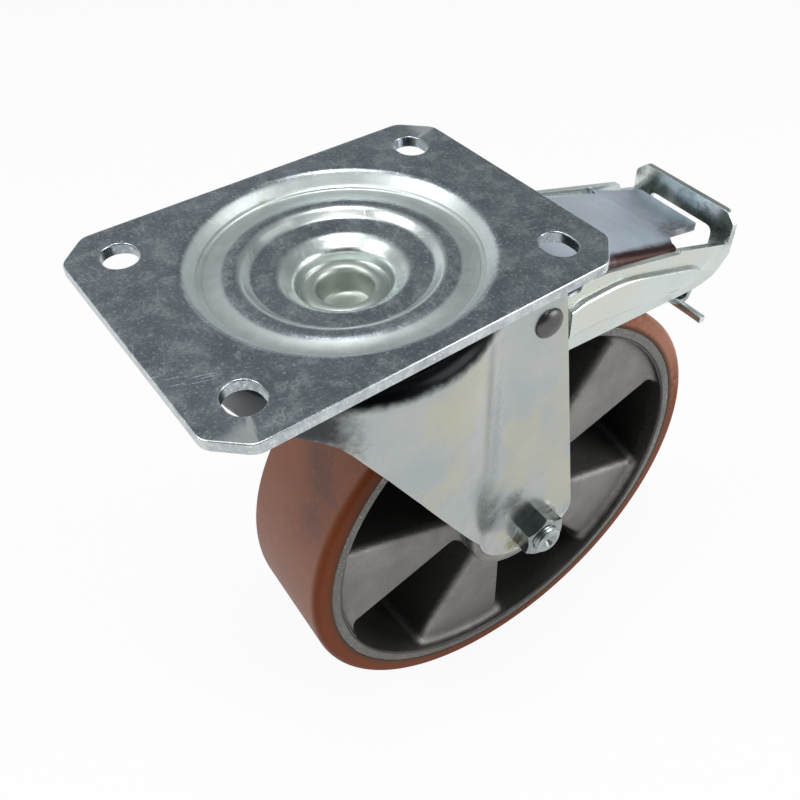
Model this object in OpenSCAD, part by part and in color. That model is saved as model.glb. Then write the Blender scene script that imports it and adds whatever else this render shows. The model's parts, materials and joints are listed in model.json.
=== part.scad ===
// Swivel castor with top plate, two rows of swivel balls, cast wheel with bonded tread and pedal lever.
// Millimetres. Origin at the centre of the top plate's upper face, +Z up along the swivel axis.
// +Y is the trail direction, towards the pedal. +X is the axle direction, towards the nut.

/* [Plate] */
// Length of the plate along Y
plate_length = 140; // [110:1:200]
// Width of the plate along X
plate_width = 110; // [85:1:160]
// Thickness of the pressed plate
plate_thickness = 4; // [2:0.5:8]
// Size of the 45 degree cut at each plate corner
corner_cut = 10; // [0:0.5:20]
// Centre distance of the slots along X
slot_pitch_x = 77; // [50:0.5:130]
// Centre distance of the slots along Y
slot_pitch_y = 109; // [70:0.5:170]
// Width of each slot
slot_width = 11; // [6:0.5:16]
// End to end length of each slot, along X
slot_length = 13.5; // [11:0.5:30]

/* [Embossing] */
// Radius where the embossed dish starts
dish_radius = 48.6; // [40:0.1:55]
// Radius of the foot of the dish's outer slope
dish_foot_radius = 43.8; // [36:0.1:50]
// Depth of the dish's outer ring
dish_depth = 5.4; // [2:0.1:8]
// Depth of the ring above the upper balls
crest_depth = 4.3; // [1:0.1:7]
// Outer radius of the middle ring
middle_outer_radius = 28.2; // [24:0.1:34]
// Inner radius of the middle ring
middle_inner_radius = 21; // [17:0.1:24]
// Depth of the middle ring
middle_depth = 7.4; // [4:0.1:10]
// Radius of the funnel's edge
funnel_radius = 16; // [13:0.1:20]
// Depth of the funnel's edge
funnel_depth = 10.8; // [6:0.1:14]
// Radius of the seat under the kingpin's head
seat_radius = 14.9; // [12:0.1:18]
// Depth of the seat under the kingpin's head
seat_depth = 15; // [10:0.1:20]

/* [Swivel bearing] */
// Radius of the upper balls
upper_ball_radius = 4; // [2:0.1:6]
// Pitch radius of the upper balls
upper_pitch_radius = 34; // [28:0.5:40]
// Number of upper balls
upper_ball_count = 25; // [10:1:40]
// Radius of the lower balls
lower_ball_radius = 3.5; // [2:0.1:6]
// Pitch radius of the lower balls
lower_pitch_radius = 29; // [20:0.5:34]
// Number of lower balls
lower_ball_count = 24; // [10:1:40]
// Depth of every ball groove
groove_depth = 1.2; // [0.5:0.1:2]
// Play between a ball and its groove
ball_play = 0.05; // [0.01:0.01:0.2]
// Thickness of the lower race at its rim
lower_race_thickness = 4; // [2:0.5:8]
// Outer radius of the lower race
lower_race_radius = 34; // [28:0.5:42]
// Radius of the kingpin's shank
kingpin_radius = 10.2; // [6:0.1:14]
// Radius of the kingpin's upper head
kingpin_head_radius = 14.4; // [11:0.1:18]
// Radius of the kingpin's bore
kingpin_bore_radius = 8.4; // [3:0.1:10]
// Depth of the kingpin's bore below the seat
kingpin_bore_depth = 7; // [2:0.5:14]
// Radius of the toothed locking disc
lock_disc_radius = 40; // [34:0.5:44]
// Thickness of the toothed locking disc
lock_disc_thickness = 3; // [2:0.5:5]
// Number of notches in the locking disc
lock_notch_count = 24; // [8:1:36]
// Width of each notch
lock_notch_width = 6.4; // [3:0.1:8]
// Radial depth of each notch
lock_notch_depth = 5; // [2:0.5:8]

/* [Fork] */
// Turn of the fork about the swivel axis at rest, degrees
rest_turn = -2.4; // [-180:0.1:180]
// Thickness of the fork sheet
fork_sheet = 4; // [2:0.5:6]
// Outer radius of the fork's round head and skirt
head_radius = 50; // [44:0.5:56]
// Outer bend radius of the head's shoulder
shoulder_radius = 6; // [4:0.5:12]
// Radius of the hole in the fork's head
head_hole_radius = 25; // [20:0.5:27]
// Half of the outer width over the two legs
leg_half_width = 37.5; // [32:0.5:46]
// Offset of the axle behind the swivel axis
trail = 59; // [30:0.5:80]
// Depth of the wheel's top below the plate's upper face
wheel_top_depth = 45; // [42:0.5:70]
// Radius of the round lower end of each leg
lobe_radius = 20.5; // [15:0.5:30]
// Radius of the pressed pad around the axle
pad_radius = 15; // [12:0.5:18]
// Depth of the pressed pad around the axle
pad_depth = 0.6; // [0:0.1:1.5]
// Rear end of the flat top between the legs
saddle_end = 46; // [38:0.5:50]
// Outer radius of the black seal on the fork's head
head_seal_radius = 44; // [41:0.5:46]

/* [Axle] */
// Radius of the axle bolt
bolt_radius = 6; // [4:0.5:10]
// Width across flats of the bolt head and nut
bolt_flats = 18.5; // [13:0.5:30]
// Height of the nut
nut_height = 8; // [5:0.5:12]
// Height of the bolt head
bolt_head_height = 7.5; // [5:0.5:12]
// Length of the bolt's end beyond the nut
bolt_overhang = 3.2; // [0:0.1:8]
// Turn of the nut about the axle at rest, degrees
nut_turn = 56.5; // [0:0.5:60]
// Radius of the axle sleeve
sleeve_radius = 10; // [8:0.5:15]
// Play of the bolt in the sleeve and of the sleeve's rings
axle_play = 0.08; // [0.02:0.01:0.2]

/* [Wheel] */
// Outer radius of the tread
wheel_radius = 100; // [60:0.5:125]
// Width of the wheel over the tread
wheel_width = 50; // [30:0.5:60]
// Radius of the rounded tread shoulders
tread_shoulder = 3; // [1:0.1:10]
// Thickness of the tread
tread_thickness = 8; // [3:0.5:15]
// Thickness of the cast rim at its face
rim_thickness = 4.3; // [2:0.1:8]
// Half of the web's overall depth along the axle
field_half_depth = 20; // [8:0.5:24]
// Wall thickness of the corrugated web
web_wall = 5; // [3:0.5:8]
// Number of raised fields on each side
field_count = 5; // [3:1:9]
// Turn of the wheel's first pocket from the trail direction at rest, degrees
pocket_turn = 0; // [0:1:72]
// Outer radius of the hub
hub_radius = 27.5; // [25:0.5:34]
// Reach of the hub past the bearings' outer faces
hub_reach = 1; // [0:0.5:3]

/* [Wheel bearings] */
// Outer radius of a bearing
bearing_radius = 23.5; // [16:0.5:30]
// Width of a bearing
bearing_width = 14; // [8:0.5:18]
// Length of each spacer between a bearing and a leg
outer_spacer_length = 3.5; // [1:0.5:10]
// Radius of the bearing balls
bearing_ball_radius = 4; // [2:0.05:6]
// Number of balls in a bearing
bearing_ball_count = 8; // [6:1:14]
// Outer radius of the inner ring
inner_ring_radius = 14.2; // [12:0.1:18]
// Inner radius of the outer ring
outer_ring_inner_radius = 19.3; // [16:0.1:22]

/* [Brake] */
// Distance of the lever's pivot behind the swivel axis
pivot_y = 54.5; // [45:0.5:62]
// Depth of the lever's pivot below the plate's upper face
pivot_depth = 30; // [25:0.5:40]
// Radius of the pivot rivets
pivot_radius = 4; // [2:0.5:6]
// Play of the lever on the pivot rivets
pivot_play = 0.05; // [0.01:0.01:0.1]
// Radius of the pivot rivets' domed heads
pivot_head_radius = 5.8; // [4:0.1:8]
// Thickness of the lever sheet
lever_sheet = 2.5; // [1.5:0.5:4]
// Thickness of the pivot washers as a ratio to the gap between the lever and the tread's side
washer_ratio = 1.4; // [0.5:0.1:3]
// Narrowing of the lever on each side, from the pivot to the pedal end, as a ratio to the same gap
narrowing_ratio = 1.2; // [0:0.1:1.6]
// Distance of the lever's end wall behind the swivel axis
lever_end = 162.8; // [120:0.1:190]
// Height of the pressed panel on each lever wall
panel_height = 2.3; // [0:0.1:4]
// Thickness of the leaf
leaf_thickness = 3; // [1:0.5:4]
// Half of the leaf's width at its tongue
tongue_half_width = 14.5; // [8:0.5:22]
// End of the leaf's tongue behind the swivel axis
tongue_end = 154; // [135:0.5:158]
// Width of the locking tooth
tooth_width = 5; // [2:0.1:8]
// Half of the length of the bar under the shoe
bar_half_length = 36; // [25:0.5:45]
// Height of the bar under the shoe
bar_height = 2.8; // [1:0.1:5]

/* [Hidden] */

zinc = [0.72, 0.75, 0.74];
blue_zinc = [0.5, 0.54, 0.58];
steel = [0.6, 0.61, 0.62];
cast_grey = [0.62, 0.61, 0.59];
tread_brown = [0.5, 0.26, 0.14];
black = [0.06, 0.06, 0.06];

// Small overlap that lets a cut run past a face
past = 1;
// Height that reaches past every part of the fork and the lever
tall = 200;
// Number of facets that stands for a full circle
round_count = 96;
ball_facets = 32;
bolt_facets = 64;
$fn = round_count;

// Depth below the upper face of each level in the swivel bearing
crest_under = crest_depth + plate_thickness;
plate_groove_radius = upper_ball_radius + ball_play;
upper_ball_depth = crest_under + plate_groove_radius;
dish_under = crest_under + groove_depth;
head_top = upper_ball_depth + plate_groove_radius - groove_depth;
head_under = head_top + fork_sheet;
race_groove_radius = lower_ball_radius + ball_play;
lower_ball_depth = head_under - groove_depth + race_groove_radius;
race_top = lower_ball_depth + race_groove_radius - groove_depth;
race_under = race_top + lower_race_thickness;
seat_under = seat_depth + plate_thickness;
lock_under = race_under + lock_disc_thickness;
kingpin_foot = 3.5;
kingpin_foot_radius = 15;
kingpin_crown = 1.9;
stack_hole_radius = kingpin_radius + ball_play;

leg_inner = leg_half_width - fork_sheet;
axle_depth = wheel_top_depth + wheel_radius;
head_inner_radius = head_radius - fork_sheet;
shoulder_inner = shoulder_radius - fork_sheet;
seal_gap = 0.3;
head_seal_inner = 39.5;
leg_rear_top = 61.2;
lobe_side = lobe_radius - 0.4;
lobe_front_angle = 210;

sleeve_bore = bolt_radius + axle_play;
ring_bore = sleeve_radius + 0.02;
bearing_seat = bearing_radius + 0.02;
bearing_face = leg_inner - outer_spacer_length;
bearing_inner_face = bearing_face - bearing_width;
hub_half_length = bearing_face + hub_reach;
ball_pitch = (inner_ring_radius + outer_ring_inner_radius) / 2;
bearing_groove = bearing_ball_radius + ball_play;
spacer_radius = 13.5;
seal_thickness = 1.2;
seal_inset = 0.6;
seal_play = 0.1;
cage_half_width = 4.6;
cage_inner = ball_pitch - 0.8;
cage_outer = ball_pitch + 0.8;
hub_bore_radius = 21;
rim_radius = wheel_radius - tread_thickness;
rim_inner_radius = rim_radius - rim_thickness;
rim_draft = 1.2;
pocket_radius = rim_inner_radius - rim_draft - 0.3;
mid_web = 3;
wall_step = 0.5;
chamfer = 1;

lever_gap = (leg_inner - wheel_width / 2 - lever_sheet) / (1 + washer_ratio);
pivot_washer_thickness = lever_gap * washer_ratio;
lever_front_half_width = leg_inner - pivot_washer_thickness;
lever_rear_half_width = lever_front_half_width - lever_gap * narrowing_ratio;
pivot_washer_width = 4;
lever_inner_front = lever_front_half_width - lever_sheet;
lever_inner_rear = lever_rear_half_width - lever_sheet;
taper_start = 70;
taper_rate = (lever_front_half_width - lever_rear_half_width) / (lever_end - taper_start);
bar_front = 141.3;
bar_rear = 144.3;
bar_top = 70.6;
shoe_sheet = 2.5;
shoe_end = 148;

// Half width of the lever's inside at a distance behind the swivel axis
function lever_inside(y) = lever_inner_front - taper_rate * max(0, y - taper_start);

// Points of an arc from one angle to another
function arc(centre, radius, from, to, step) =
    [for (a = [0 : 1 : abs(to - from) / step]) centre + radius
        * [cos(from + sign(to - from) * a * step), sin(from + sign(to - from) * a * step)]];

// Unit vector from one point to the next, and its left normal
function direction(a, b) = (b - a) / norm(b - a);
function left_of(v) = [-v[1], v[0]];

// A path's point moved sideways so that the strip keeps its thickness around bends
function side_point(path, i, shift) =
    let (
        before = left_of(direction(path[max(i - 1, 0)], path[max(i, 1)])),
        after = left_of(direction(path[min(i, len(path) - 2)], path[min(i + 1, len(path) - 1)])),
        middle = before + after
    )
    path[i] + middle * (2 * shift / (middle * middle));

// Outline of a bent strip of one thickness along a path of points
module bent_strip(path, thickness) {
    count = len(path);
    polygon(concat(
        [for (i = [0 : count - 1]) side_point(path, i, thickness / 2)],
        [for (i = [count - 1 : -1 : 0]) side_point(path, i, -thickness / 2)]
    ));
}

// Turns children from the fork's own frame to the frame of the plate
module in_fork() {
    rotate([0, 0, rest_turn]) children();
}

// Extrudes an outline drawn in Y and Z along X, between two distances
module along_x(from, to) {
    translate([from, 0, 0]) rotate([90, 0, 90]) linear_extrude(to - from) children();
}

// Places children, drawn about Z, on the axle with their Z along X
module on_axle() {
    in_fork() translate([0, trail, -axle_depth]) rotate([0, 90, 0]) children();
}

// Copies children to both sides of the wheel's centre plane
module on_side(side) {
    scale_side = side == "near" ? 0 : 1;
    mirror([0, 0, scale_side]) children();
}

// A ring with a rectangular section about Z
module ring(inner, outer, from, to) {
    rotate_extrude() translate([inner, from]) square([outer - inner, to - from]);
}

// A ball groove about Z
module groove(pitch, radius, height) {
    translate([0, 0, height]) rotate_extrude() translate([pitch, 0]) circle(radius, $fn = ball_facets);
}

// One mounting slot
module slot() {
    reach = (slot_length - slot_width) / 2;
    translate([0, 0, -plate_thickness - past]) linear_extrude(plate_thickness + 2 * past) {
        translate([-reach, -slot_width / 2]) square([2 * reach, slot_width]);
        for (side = [-1, 1]) translate([side * reach, 0]) circle(slot_width / 2, $fn = bolt_facets);
    }
}

// Section of the pressed dish, from the kingpin's hole to the flat plate
module dish_section() {
    polygon([
        [stack_hole_radius, -seat_depth],
        [seat_radius, -seat_depth],
        [seat_radius + 0.4, -funnel_depth - 1.6],
        [funnel_radius, -funnel_depth],
        [middle_inner_radius - 1.2, -middle_depth - 0.9],
        [middle_inner_radius, -middle_depth],
        [middle_outer_radius, -middle_depth],
        [middle_outer_radius + 1.1, -middle_depth + 0.7],
        [upper_pitch_radius - 2.4, -crest_depth - 0.3],
        [upper_pitch_radius - 1, -crest_depth],
        [upper_pitch_radius + 1, -crest_depth],
        [upper_pitch_radius + 3.4, -crest_depth - 0.5],
        [dish_foot_radius - 3.2, -dish_depth],
        [dish_foot_radius - 0.6, -dish_depth + 0.1],
        [dish_foot_radius, -dish_depth + 0.7],
        [dish_radius - 1.6, -1.2],
        [dish_radius - 0.5, -0.3],
        [dish_radius + 0.8, 0],
        [dish_radius + 3, 0],
        [dish_radius + 3, -plate_thickness],
        [dish_radius + 2, -plate_thickness],
        [dish_foot_radius + 3.4, -dish_under + 2],
        [dish_foot_radius + 1.4, -dish_under + 0.4],
        [dish_foot_radius - 1, -dish_under],
        [upper_pitch_radius - 3.2, -dish_under],
        [middle_outer_radius + 1.4, -middle_depth - plate_thickness],
        [middle_inner_radius + 1.6, -middle_depth - plate_thickness],
        [funnel_radius + 3.3, -funnel_depth - 2.8],
        [seat_radius + 3.5, -seat_under + 1.5],
        [seat_radius + 2.6, -seat_under],
        [stack_hole_radius, -seat_under]
    ]);
}

module top_plate() {
    half_x = plate_width / 2;
    half_y = plate_length / 2;
    color(blue_zinc) difference() {
        union() {
            difference() {
                translate([0, 0, -plate_thickness]) linear_extrude(plate_thickness) polygon([
                    [half_x, half_y - corner_cut], [half_x - corner_cut, half_y],
                    [corner_cut - half_x, half_y], [-half_x, half_y - corner_cut],
                    [-half_x, corner_cut - half_y], [corner_cut - half_x, -half_y],
                    [half_x - corner_cut, -half_y], [half_x, corner_cut - half_y]
                ]);
                translate([0, 0, -plate_thickness - past])
                    cylinder(r = dish_radius + 3, h = plate_thickness + 2 * past);
            }
            rotate_extrude() dish_section();
        }
        groove(upper_pitch_radius, plate_groove_radius, -upper_ball_depth);
        for (x = [-1, 1], y = [-1, 1])
            translate([x * slot_pitch_x / 2, y * slot_pitch_y / 2, 0]) slot();
    }
}

module kingpin() {
    bore_end = seat_depth + kingpin_bore_depth;
    color(zinc) rotate_extrude() polygon([
        [0, -bore_end - 1.5],
        [kingpin_bore_radius - 1.5, -bore_end],
        [kingpin_bore_radius, -seat_depth - 0.6],
        [kingpin_bore_radius + 0.5, -seat_depth + kingpin_crown - 0.9],
        [kingpin_bore_radius + 1.6, -seat_depth + kingpin_crown - 0.2],
        [kingpin_bore_radius + 2.8, -seat_depth + kingpin_crown],
        [kingpin_bore_radius + 4, -seat_depth + kingpin_crown - 0.3],
        [kingpin_head_radius - 0.4, -seat_depth + 0.9],
        [kingpin_head_radius, -seat_depth + 0.4],
        [kingpin_head_radius, -seat_depth],
        [kingpin_radius, -seat_depth],
        [kingpin_radius, -lock_under],
        [kingpin_foot_radius, -lock_under],
        [kingpin_foot_radius - 0.6, -lock_under - kingpin_foot + 1],
        [kingpin_foot_radius - 3, -lock_under - kingpin_foot],
        [0, -lock_under - kingpin_foot]
    ]);
}

module lower_race() {
    crown_radius = seat_radius + 2.6;
    color(steel) difference() {
        rotate_extrude() polygon([
            [stack_hole_radius, -seat_under],
            [crown_radius, -seat_under],
            [lower_pitch_radius - 5, -race_top],
            [lower_race_radius - chamfer, -race_top],
            [lower_race_radius, -race_top - chamfer],
            [lower_race_radius, -race_under],
            [stack_hole_radius, -race_under]
        ]);
        groove(lower_pitch_radius, race_groove_radius, -lower_ball_depth);
    }
}

module locking_disc() {
    color(steel) rotate([0, 0, rest_turn]) difference() {
        ring(stack_hole_radius, lock_disc_radius, -lock_under, -race_under);
        for (i = [0 : lock_notch_count - 1])
            rotate([0, 0, 90 + i * 360 / lock_notch_count])
                translate([lock_disc_radius - lock_notch_depth, -lock_notch_width / 2, -lock_under - past])
                    cube([lock_notch_depth + past, lock_notch_width, lock_disc_thickness + 2 * past]);
    }
}

module ball_row(count, pitch, radius) {
    for (i = [0 : count - 1])
        rotate([0, 0, i * 360 / count]) translate([pitch, 0, 0]) sphere(radius, $fn = ball_facets);
}

module upper_balls() {
    color(steel) translate([0, 0, -upper_ball_depth])
        ball_row(upper_ball_count, upper_pitch_radius, upper_ball_radius);
}

module lower_balls() {
    color(steel) translate([0, 0, -lower_ball_depth])
        ball_row(lower_ball_count, lower_pitch_radius, lower_ball_radius);
}

// Outside or inside of the fork: a round head over the front and a straight saddle over the legs
module fork_shell(round_radius, half_width, bend, top) {
    rotate_extrude() polygon(concat(
        [[0, -tall], [0, -top]],
        arc([round_radius - bend, -top - bend], bend, 90, 0, 15),
        [[round_radius, -tall]]
    ));
    translate([0, tall, 0]) rotate([90, 0, 0]) linear_extrude(tall) polygon(concat(
        [[half_width, -tall]],
        arc([half_width - bend, -top - bend], bend, 0, 90, 15),
        arc([bend - half_width, -top - bend], bend, 90, 180, 15),
        [[-half_width, -tall]]
    ));
}

// Side view of the fork: front lip, sloping front edge, round lower end and leaning rear edge
module fork_side() {
    polygon([
        [-head_radius - past, -head_top + past],
        [-head_radius - past, -31.5],
        [-36, -31.5],
        [-29.5, -34],
        [-25.2, -38.6],
        [-6.6, -68.2],
        [7.7, -93.6],
        [28.7, -131.2],
        [trail + lobe_side * cos(lobe_front_angle), lobe_side * sin(lobe_front_angle) - axle_depth],
        [trail, -axle_depth],
        [trail + lobe_side, -axle_depth - 2],
        [leg_rear_top, -20.5],
        [leg_rear_top - 0.6, -head_top + past]
    ]);
    translate([trail, -axle_depth]) circle(lobe_radius);
}

module fork() {
    color(zinc) in_fork() difference() {
        intersection() {
            difference() {
                fork_shell(head_radius, leg_half_width, shoulder_radius, head_top);
                fork_shell(head_inner_radius, leg_inner, shoulder_inner, head_under);
            }
            along_x(-head_radius - past, head_radius + past) fork_side();
        }
        translate([0, 0, -head_under - past])
            cylinder(r = head_hole_radius, h = fork_sheet + 2 * past);
        translate([-leg_inner, saddle_end, -head_under - past])
            cube([2 * leg_inner, trail, fork_sheet + 2 * past]);
        groove(upper_pitch_radius, plate_groove_radius, -upper_ball_depth);
        groove(lower_pitch_radius, race_groove_radius, -lower_ball_depth);
        translate([0, trail, -axle_depth]) rotate([0, 90, 0]) {
            translate([0, 0, -tall / 2]) cylinder(r = sleeve_bore, h = tall, $fn = bolt_facets);
            for (side = [0, 1]) mirror([0, 0, side])
                translate([0, 0, leg_half_width - pad_depth]) cylinder(r = pad_radius, h = past + pad_depth);
        }
        translate([-tall / 2, pivot_y, -pivot_depth]) rotate([0, 90, 0])
            cylinder(r = pivot_radius + pivot_play, h = tall, $fn = bolt_facets);
    }
}

module head_seal() {
    color(black) in_fork() ring(head_seal_inner, head_seal_radius, -head_top, -dish_under - seal_gap);
}

module axle_bolt() {
    seat = leg_half_width - pad_depth;
    tip = leg_half_width + nut_height - pad_depth + bolt_overhang;
    color(zinc) on_axle() difference() {
        union() {
            translate([0, 0, -seat - bolt_head_height])
                cylinder(d = bolt_flats / cos(30), h = bolt_head_height, $fn = 6);
            translate([0, 0, -seat]) cylinder(r = bolt_radius, h = seat + tip - chamfer, $fn = bolt_facets);
            translate([0, 0, tip - chamfer])
                cylinder(r1 = bolt_radius, r2 = bolt_radius - chamfer, h = chamfer, $fn = bolt_facets);
        }
        translate([0, 0, tip - 2]) cylinder(r1 = 0.5, r2 = 2.5, h = 2.01, $fn = bolt_facets);
    }
}

module axle_nut() {
    seat = leg_half_width - pad_depth;
    color(zinc) on_axle() translate([0, 0, seat]) difference() {
        intersection() {
            rotate([0, 0, nut_turn]) cylinder(d = bolt_flats / cos(30), h = nut_height, $fn = 6);
            translate([0, 0, -past])
                cylinder(r1 = bolt_flats / 2 + 4, r2 = bolt_flats / 2 - 0.2, h = nut_height + past);
        }
        translate([0, 0, -past])
            cylinder(r = bolt_radius + 0.05, h = nut_height + 2 * past, $fn = bolt_facets);
    }
}

module axle_sleeve() {
    color(steel) on_axle() ring(sleeve_bore, sleeve_radius, -leg_inner, leg_inner);
}

module inner_spacer() {
    color(steel) on_axle() ring(ring_bore, spacer_radius, -bearing_inner_face, bearing_inner_face);
}

module outer_spacers() {
    color(zinc) on_axle() for (side = ["near", "far"])
        on_side(side) ring(ring_bore, spacer_radius, bearing_face, leg_inner);
}

module bearing_ring(side, inner, outer) {
    color(steel) on_axle() on_side(side) difference() {
        ring(inner, outer, bearing_inner_face, bearing_face);
        groove(ball_pitch, bearing_groove, bearing_face - bearing_width / 2);
    }
}

module near_inner_ring() bearing_ring("near", ring_bore, inner_ring_radius);
module far_inner_ring() bearing_ring("far", ring_bore, inner_ring_radius);
module near_outer_ring() bearing_ring("near", outer_ring_inner_radius, bearing_radius);
module far_outer_ring() bearing_ring("far", outer_ring_inner_radius, bearing_radius);

module bearing_seals(side) {
    color(black) on_axle() on_side(side)
        for (from = [bearing_inner_face + seal_inset, bearing_face - seal_inset - seal_thickness])
            ring(inner_ring_radius + seal_play, outer_ring_inner_radius, from, from + seal_thickness);
}

module near_seals() bearing_seals("near");
module far_seals() bearing_seals("far");

module bearing_balls(side) {
    color(steel) on_axle() on_side(side) translate([0, 0, bearing_face - bearing_width / 2])
        ball_row(bearing_ball_count, ball_pitch, bearing_ball_radius);
}

module near_balls() bearing_balls("near");
module far_balls() bearing_balls("far");

module bearing_cage(side) {
    color(tread_brown) on_axle() on_side(side) translate([0, 0, bearing_face - bearing_width / 2])
        difference() {
            ring(cage_inner, cage_outer, -cage_half_width, cage_half_width);
            for (i = [0 : bearing_ball_count - 1]) rotate([0, 0, i * 360 / bearing_ball_count])
                rotate([0, 90, 0])
                    cylinder(r = bearing_ball_radius + seal_play, h = 2 * ball_pitch, $fn = ball_facets);
        }
}

module near_cage() bearing_cage("near");
module far_cage() bearing_cage("far");

module pivot_rivets() {
    color(steel) in_fork() translate([0, pivot_y, -pivot_depth]) for (side = [0, 1])
        mirror([side, 0, 0]) rotate([0, 90, 0]) rotate_extrude() polygon(concat(
            [[0, lever_inner_front - 1.6], [pivot_head_radius - 0.4, lever_inner_front - 1.6],
             [pivot_head_radius, lever_inner_front - 1.2], [pivot_head_radius, lever_inner_front],
             [pivot_radius, lever_inner_front], [pivot_radius, leg_half_width],
             [pivot_head_radius, leg_half_width]],
            arc([0, leg_half_width - 5.2], norm([pivot_head_radius, 5.2]),
                atan2(5.2, pivot_head_radius) + 8, 90, 8)
        ));
}

module pivot_washers() {
    color(zinc) in_fork() translate([0, pivot_y, -pivot_depth]) for (side = [0, 1])
        mirror([side, 0, 0]) rotate([0, 90, 0])
            ring(pivot_radius + pivot_play, pivot_radius + pivot_washer_width,
                lever_front_half_width, leg_inner);
}

// Sector about Z between two radii, narrowed at each side by a distance
module sector(inner, outer, half_angle, narrowing) {
    far = 2 * outer;
    shift = narrowing / sin(half_angle);
    intersection() {
        polygon([
            [shift, 0],
            [shift + far * cos(half_angle), far * sin(half_angle)],
            [shift + far * cos(half_angle), -far * sin(half_angle)]
        ]);
        difference() {
            circle(outer);
            circle(inner);
        }
    }
}

// Raised fields of one side, from the middle of the web outwards
module wheel_fields(first) {
    for (i = [0 : field_count - 1]) rotate([0, 0, first + i * 360 / field_count])
        linear_extrude(field_half_depth)
            sector(hub_radius - 2, rim_inner_radius, 90 / field_count, wall_step - web_wall / 2);
}

// Pockets of one side, each as deep as the raised field of the other side allows
module wheel_pockets(first) {
    for (i = [0 : field_count - 1]) rotate([0, 0, first + i * 360 / field_count])
        translate([0, 0, web_wall - field_half_depth]) linear_extrude(tall)
            sector(hub_radius + 1.5, pocket_radius, 90 / field_count, web_wall / 2);
}

module wheel_centre() {
    half_width = wheel_width / 2;
    near_turn = 90 + pocket_turn;
    far_turn = near_turn + 180 / field_count;
    color(cast_grey) on_axle() difference() {
        union() {
            rotate_extrude() polygon([
                [hub_bore_radius, chamfer - hub_half_length],
                [hub_radius - chamfer, -hub_half_length],
                [hub_radius, chamfer - hub_half_length],
                [hub_radius, -mid_web],
                [rim_inner_radius - rim_draft, -mid_web],
                [rim_inner_radius, -half_width],
                [rim_radius, -half_width],
                [rim_radius, half_width],
                [rim_inner_radius, half_width],
                [rim_inner_radius - rim_draft, mid_web],
                [hub_radius, mid_web],
                [hub_radius, hub_half_length - chamfer],
                [hub_radius - chamfer, hub_half_length],
                [hub_bore_radius, hub_half_length - chamfer]
            ]);
            wheel_fields(far_turn);
            mirror([0, 0, 1]) wheel_fields(near_turn);
        }
        wheel_pockets(near_turn);
        mirror([0, 0, 1]) wheel_pockets(far_turn);
        for (side = ["near", "far"]) on_side(side)
            translate([0, 0, bearing_inner_face]) cylinder(r = bearing_seat, h = tall);
    }
}

module tread() {
    half_width = wheel_width / 2;
    color(tread_brown) on_axle() rotate_extrude() polygon(concat(
        [[rim_radius, -half_width]],
        arc([wheel_radius - tread_shoulder, tread_shoulder - half_width], tread_shoulder, -90, 0, 15),
        arc([wheel_radius - tread_shoulder, half_width - tread_shoulder], tread_shoulder, 0, 90, 15),
        [[rim_radius, half_width]]
    ));
}

// Side view of the lever's near or far wall, whose upper edges differ
module lever_side(side) {
    near_edge = [[88.1, -29.3], [129, -38.5], [129, -37.2], [157.5, -46]];
    far_edge = [[88.1, -26.6], [149.3, -41], [149.3, -44.7]];
    difference() {
        polygon(concat(
            [[45.5, -27], [49, -22.4], [58, -21.6], [63.5, -25], [68.6, -31], [75.6, -31.4], [76.4, -28.7]],
            side == "near" ? near_edge : far_edge,
            [[lever_end, -47.6], [lever_end, -52.8], [161.6, -53.6], [157.2, -58.4], [154.1, -60.4],
             [149.6, -61.2], [145.1, -61.9], [128.7, -61.1], [70.6, -57.1], [60, -50],
             [50, -39.5], [45.5, -34]]
        ));
        translate([pivot_y, -pivot_depth]) circle(pivot_radius + pivot_play, $fn = bolt_facets);
    }
}

// Side view of the pressed panel
module panel_side() {
    polygon([
        [70, -36.6], [76.3, -35.1], [98.4, -35.1], [138.8, -47.4], [144.6, -51.6],
        [144.4, -54.8], [139, -57.2], [84, -49.8], [70, -49.6]
    ]);
}

// Plan view of one lever wall, moved outward by a shift
module wall_plan(shift) {
    polygon([
        [lever_inner_front + shift, 44], [lever_front_half_width + shift, 44],
        [lever_front_half_width + shift, taper_start], [lever_rear_half_width + shift, lever_end],
        [lever_inner_rear + shift, lever_end], [lever_inner_front + shift, taper_start]
    ]);
}

// Rear view of the end wall, with the window between its two feet
module end_wall() {
    window_half_width = 17.2;
    top_half_width = 22.2;
    polygon([
        [-lever_rear_half_width, -52.8], [-lever_rear_half_width, -38.3], [-top_half_width, -34],
        [top_half_width, -34], [lever_rear_half_width, -38.3], [lever_rear_half_width, -52.8],
        [window_half_width, -52.8], [window_half_width, -46.4], [window_half_width - 2, -44.4],
        [2 - window_half_width, -44.4], [-window_half_width, -46.4], [-window_half_width, -52.8]
    ]);
}

module brake_lever() {
    color(zinc) in_fork() {
        for (side = ["near", "far"]) mirror([side == "near" ? 0 : 1, 0, 0]) {
            intersection() {
                translate([0, 0, -tall]) linear_extrude(tall) wall_plan(0);
                along_x(0, leg_half_width) lever_side(side);
            }
            intersection() {
                translate([0, 0, -tall]) linear_extrude(tall) wall_plan(panel_height);
                along_x(0, leg_half_width) panel_side();
            }
        }
        translate([0, lever_end, 0]) rotate([90, 0, 0]) linear_extrude(lever_sheet) end_wall();
    }
}

// Side view of the leaf: tongue, sloping plate, drop in front of the pivot and arm with its tooth
module leaf_side() {
    bent_strip([
        [tongue_end, -43.1], [134, -40.3], [105, -32], [66, -20.9], [61, -24], [60, -31.5],
        [57, -34.6], [37.7, -34.6], [37.7, -31.4]
    ], leaf_thickness);
}

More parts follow.
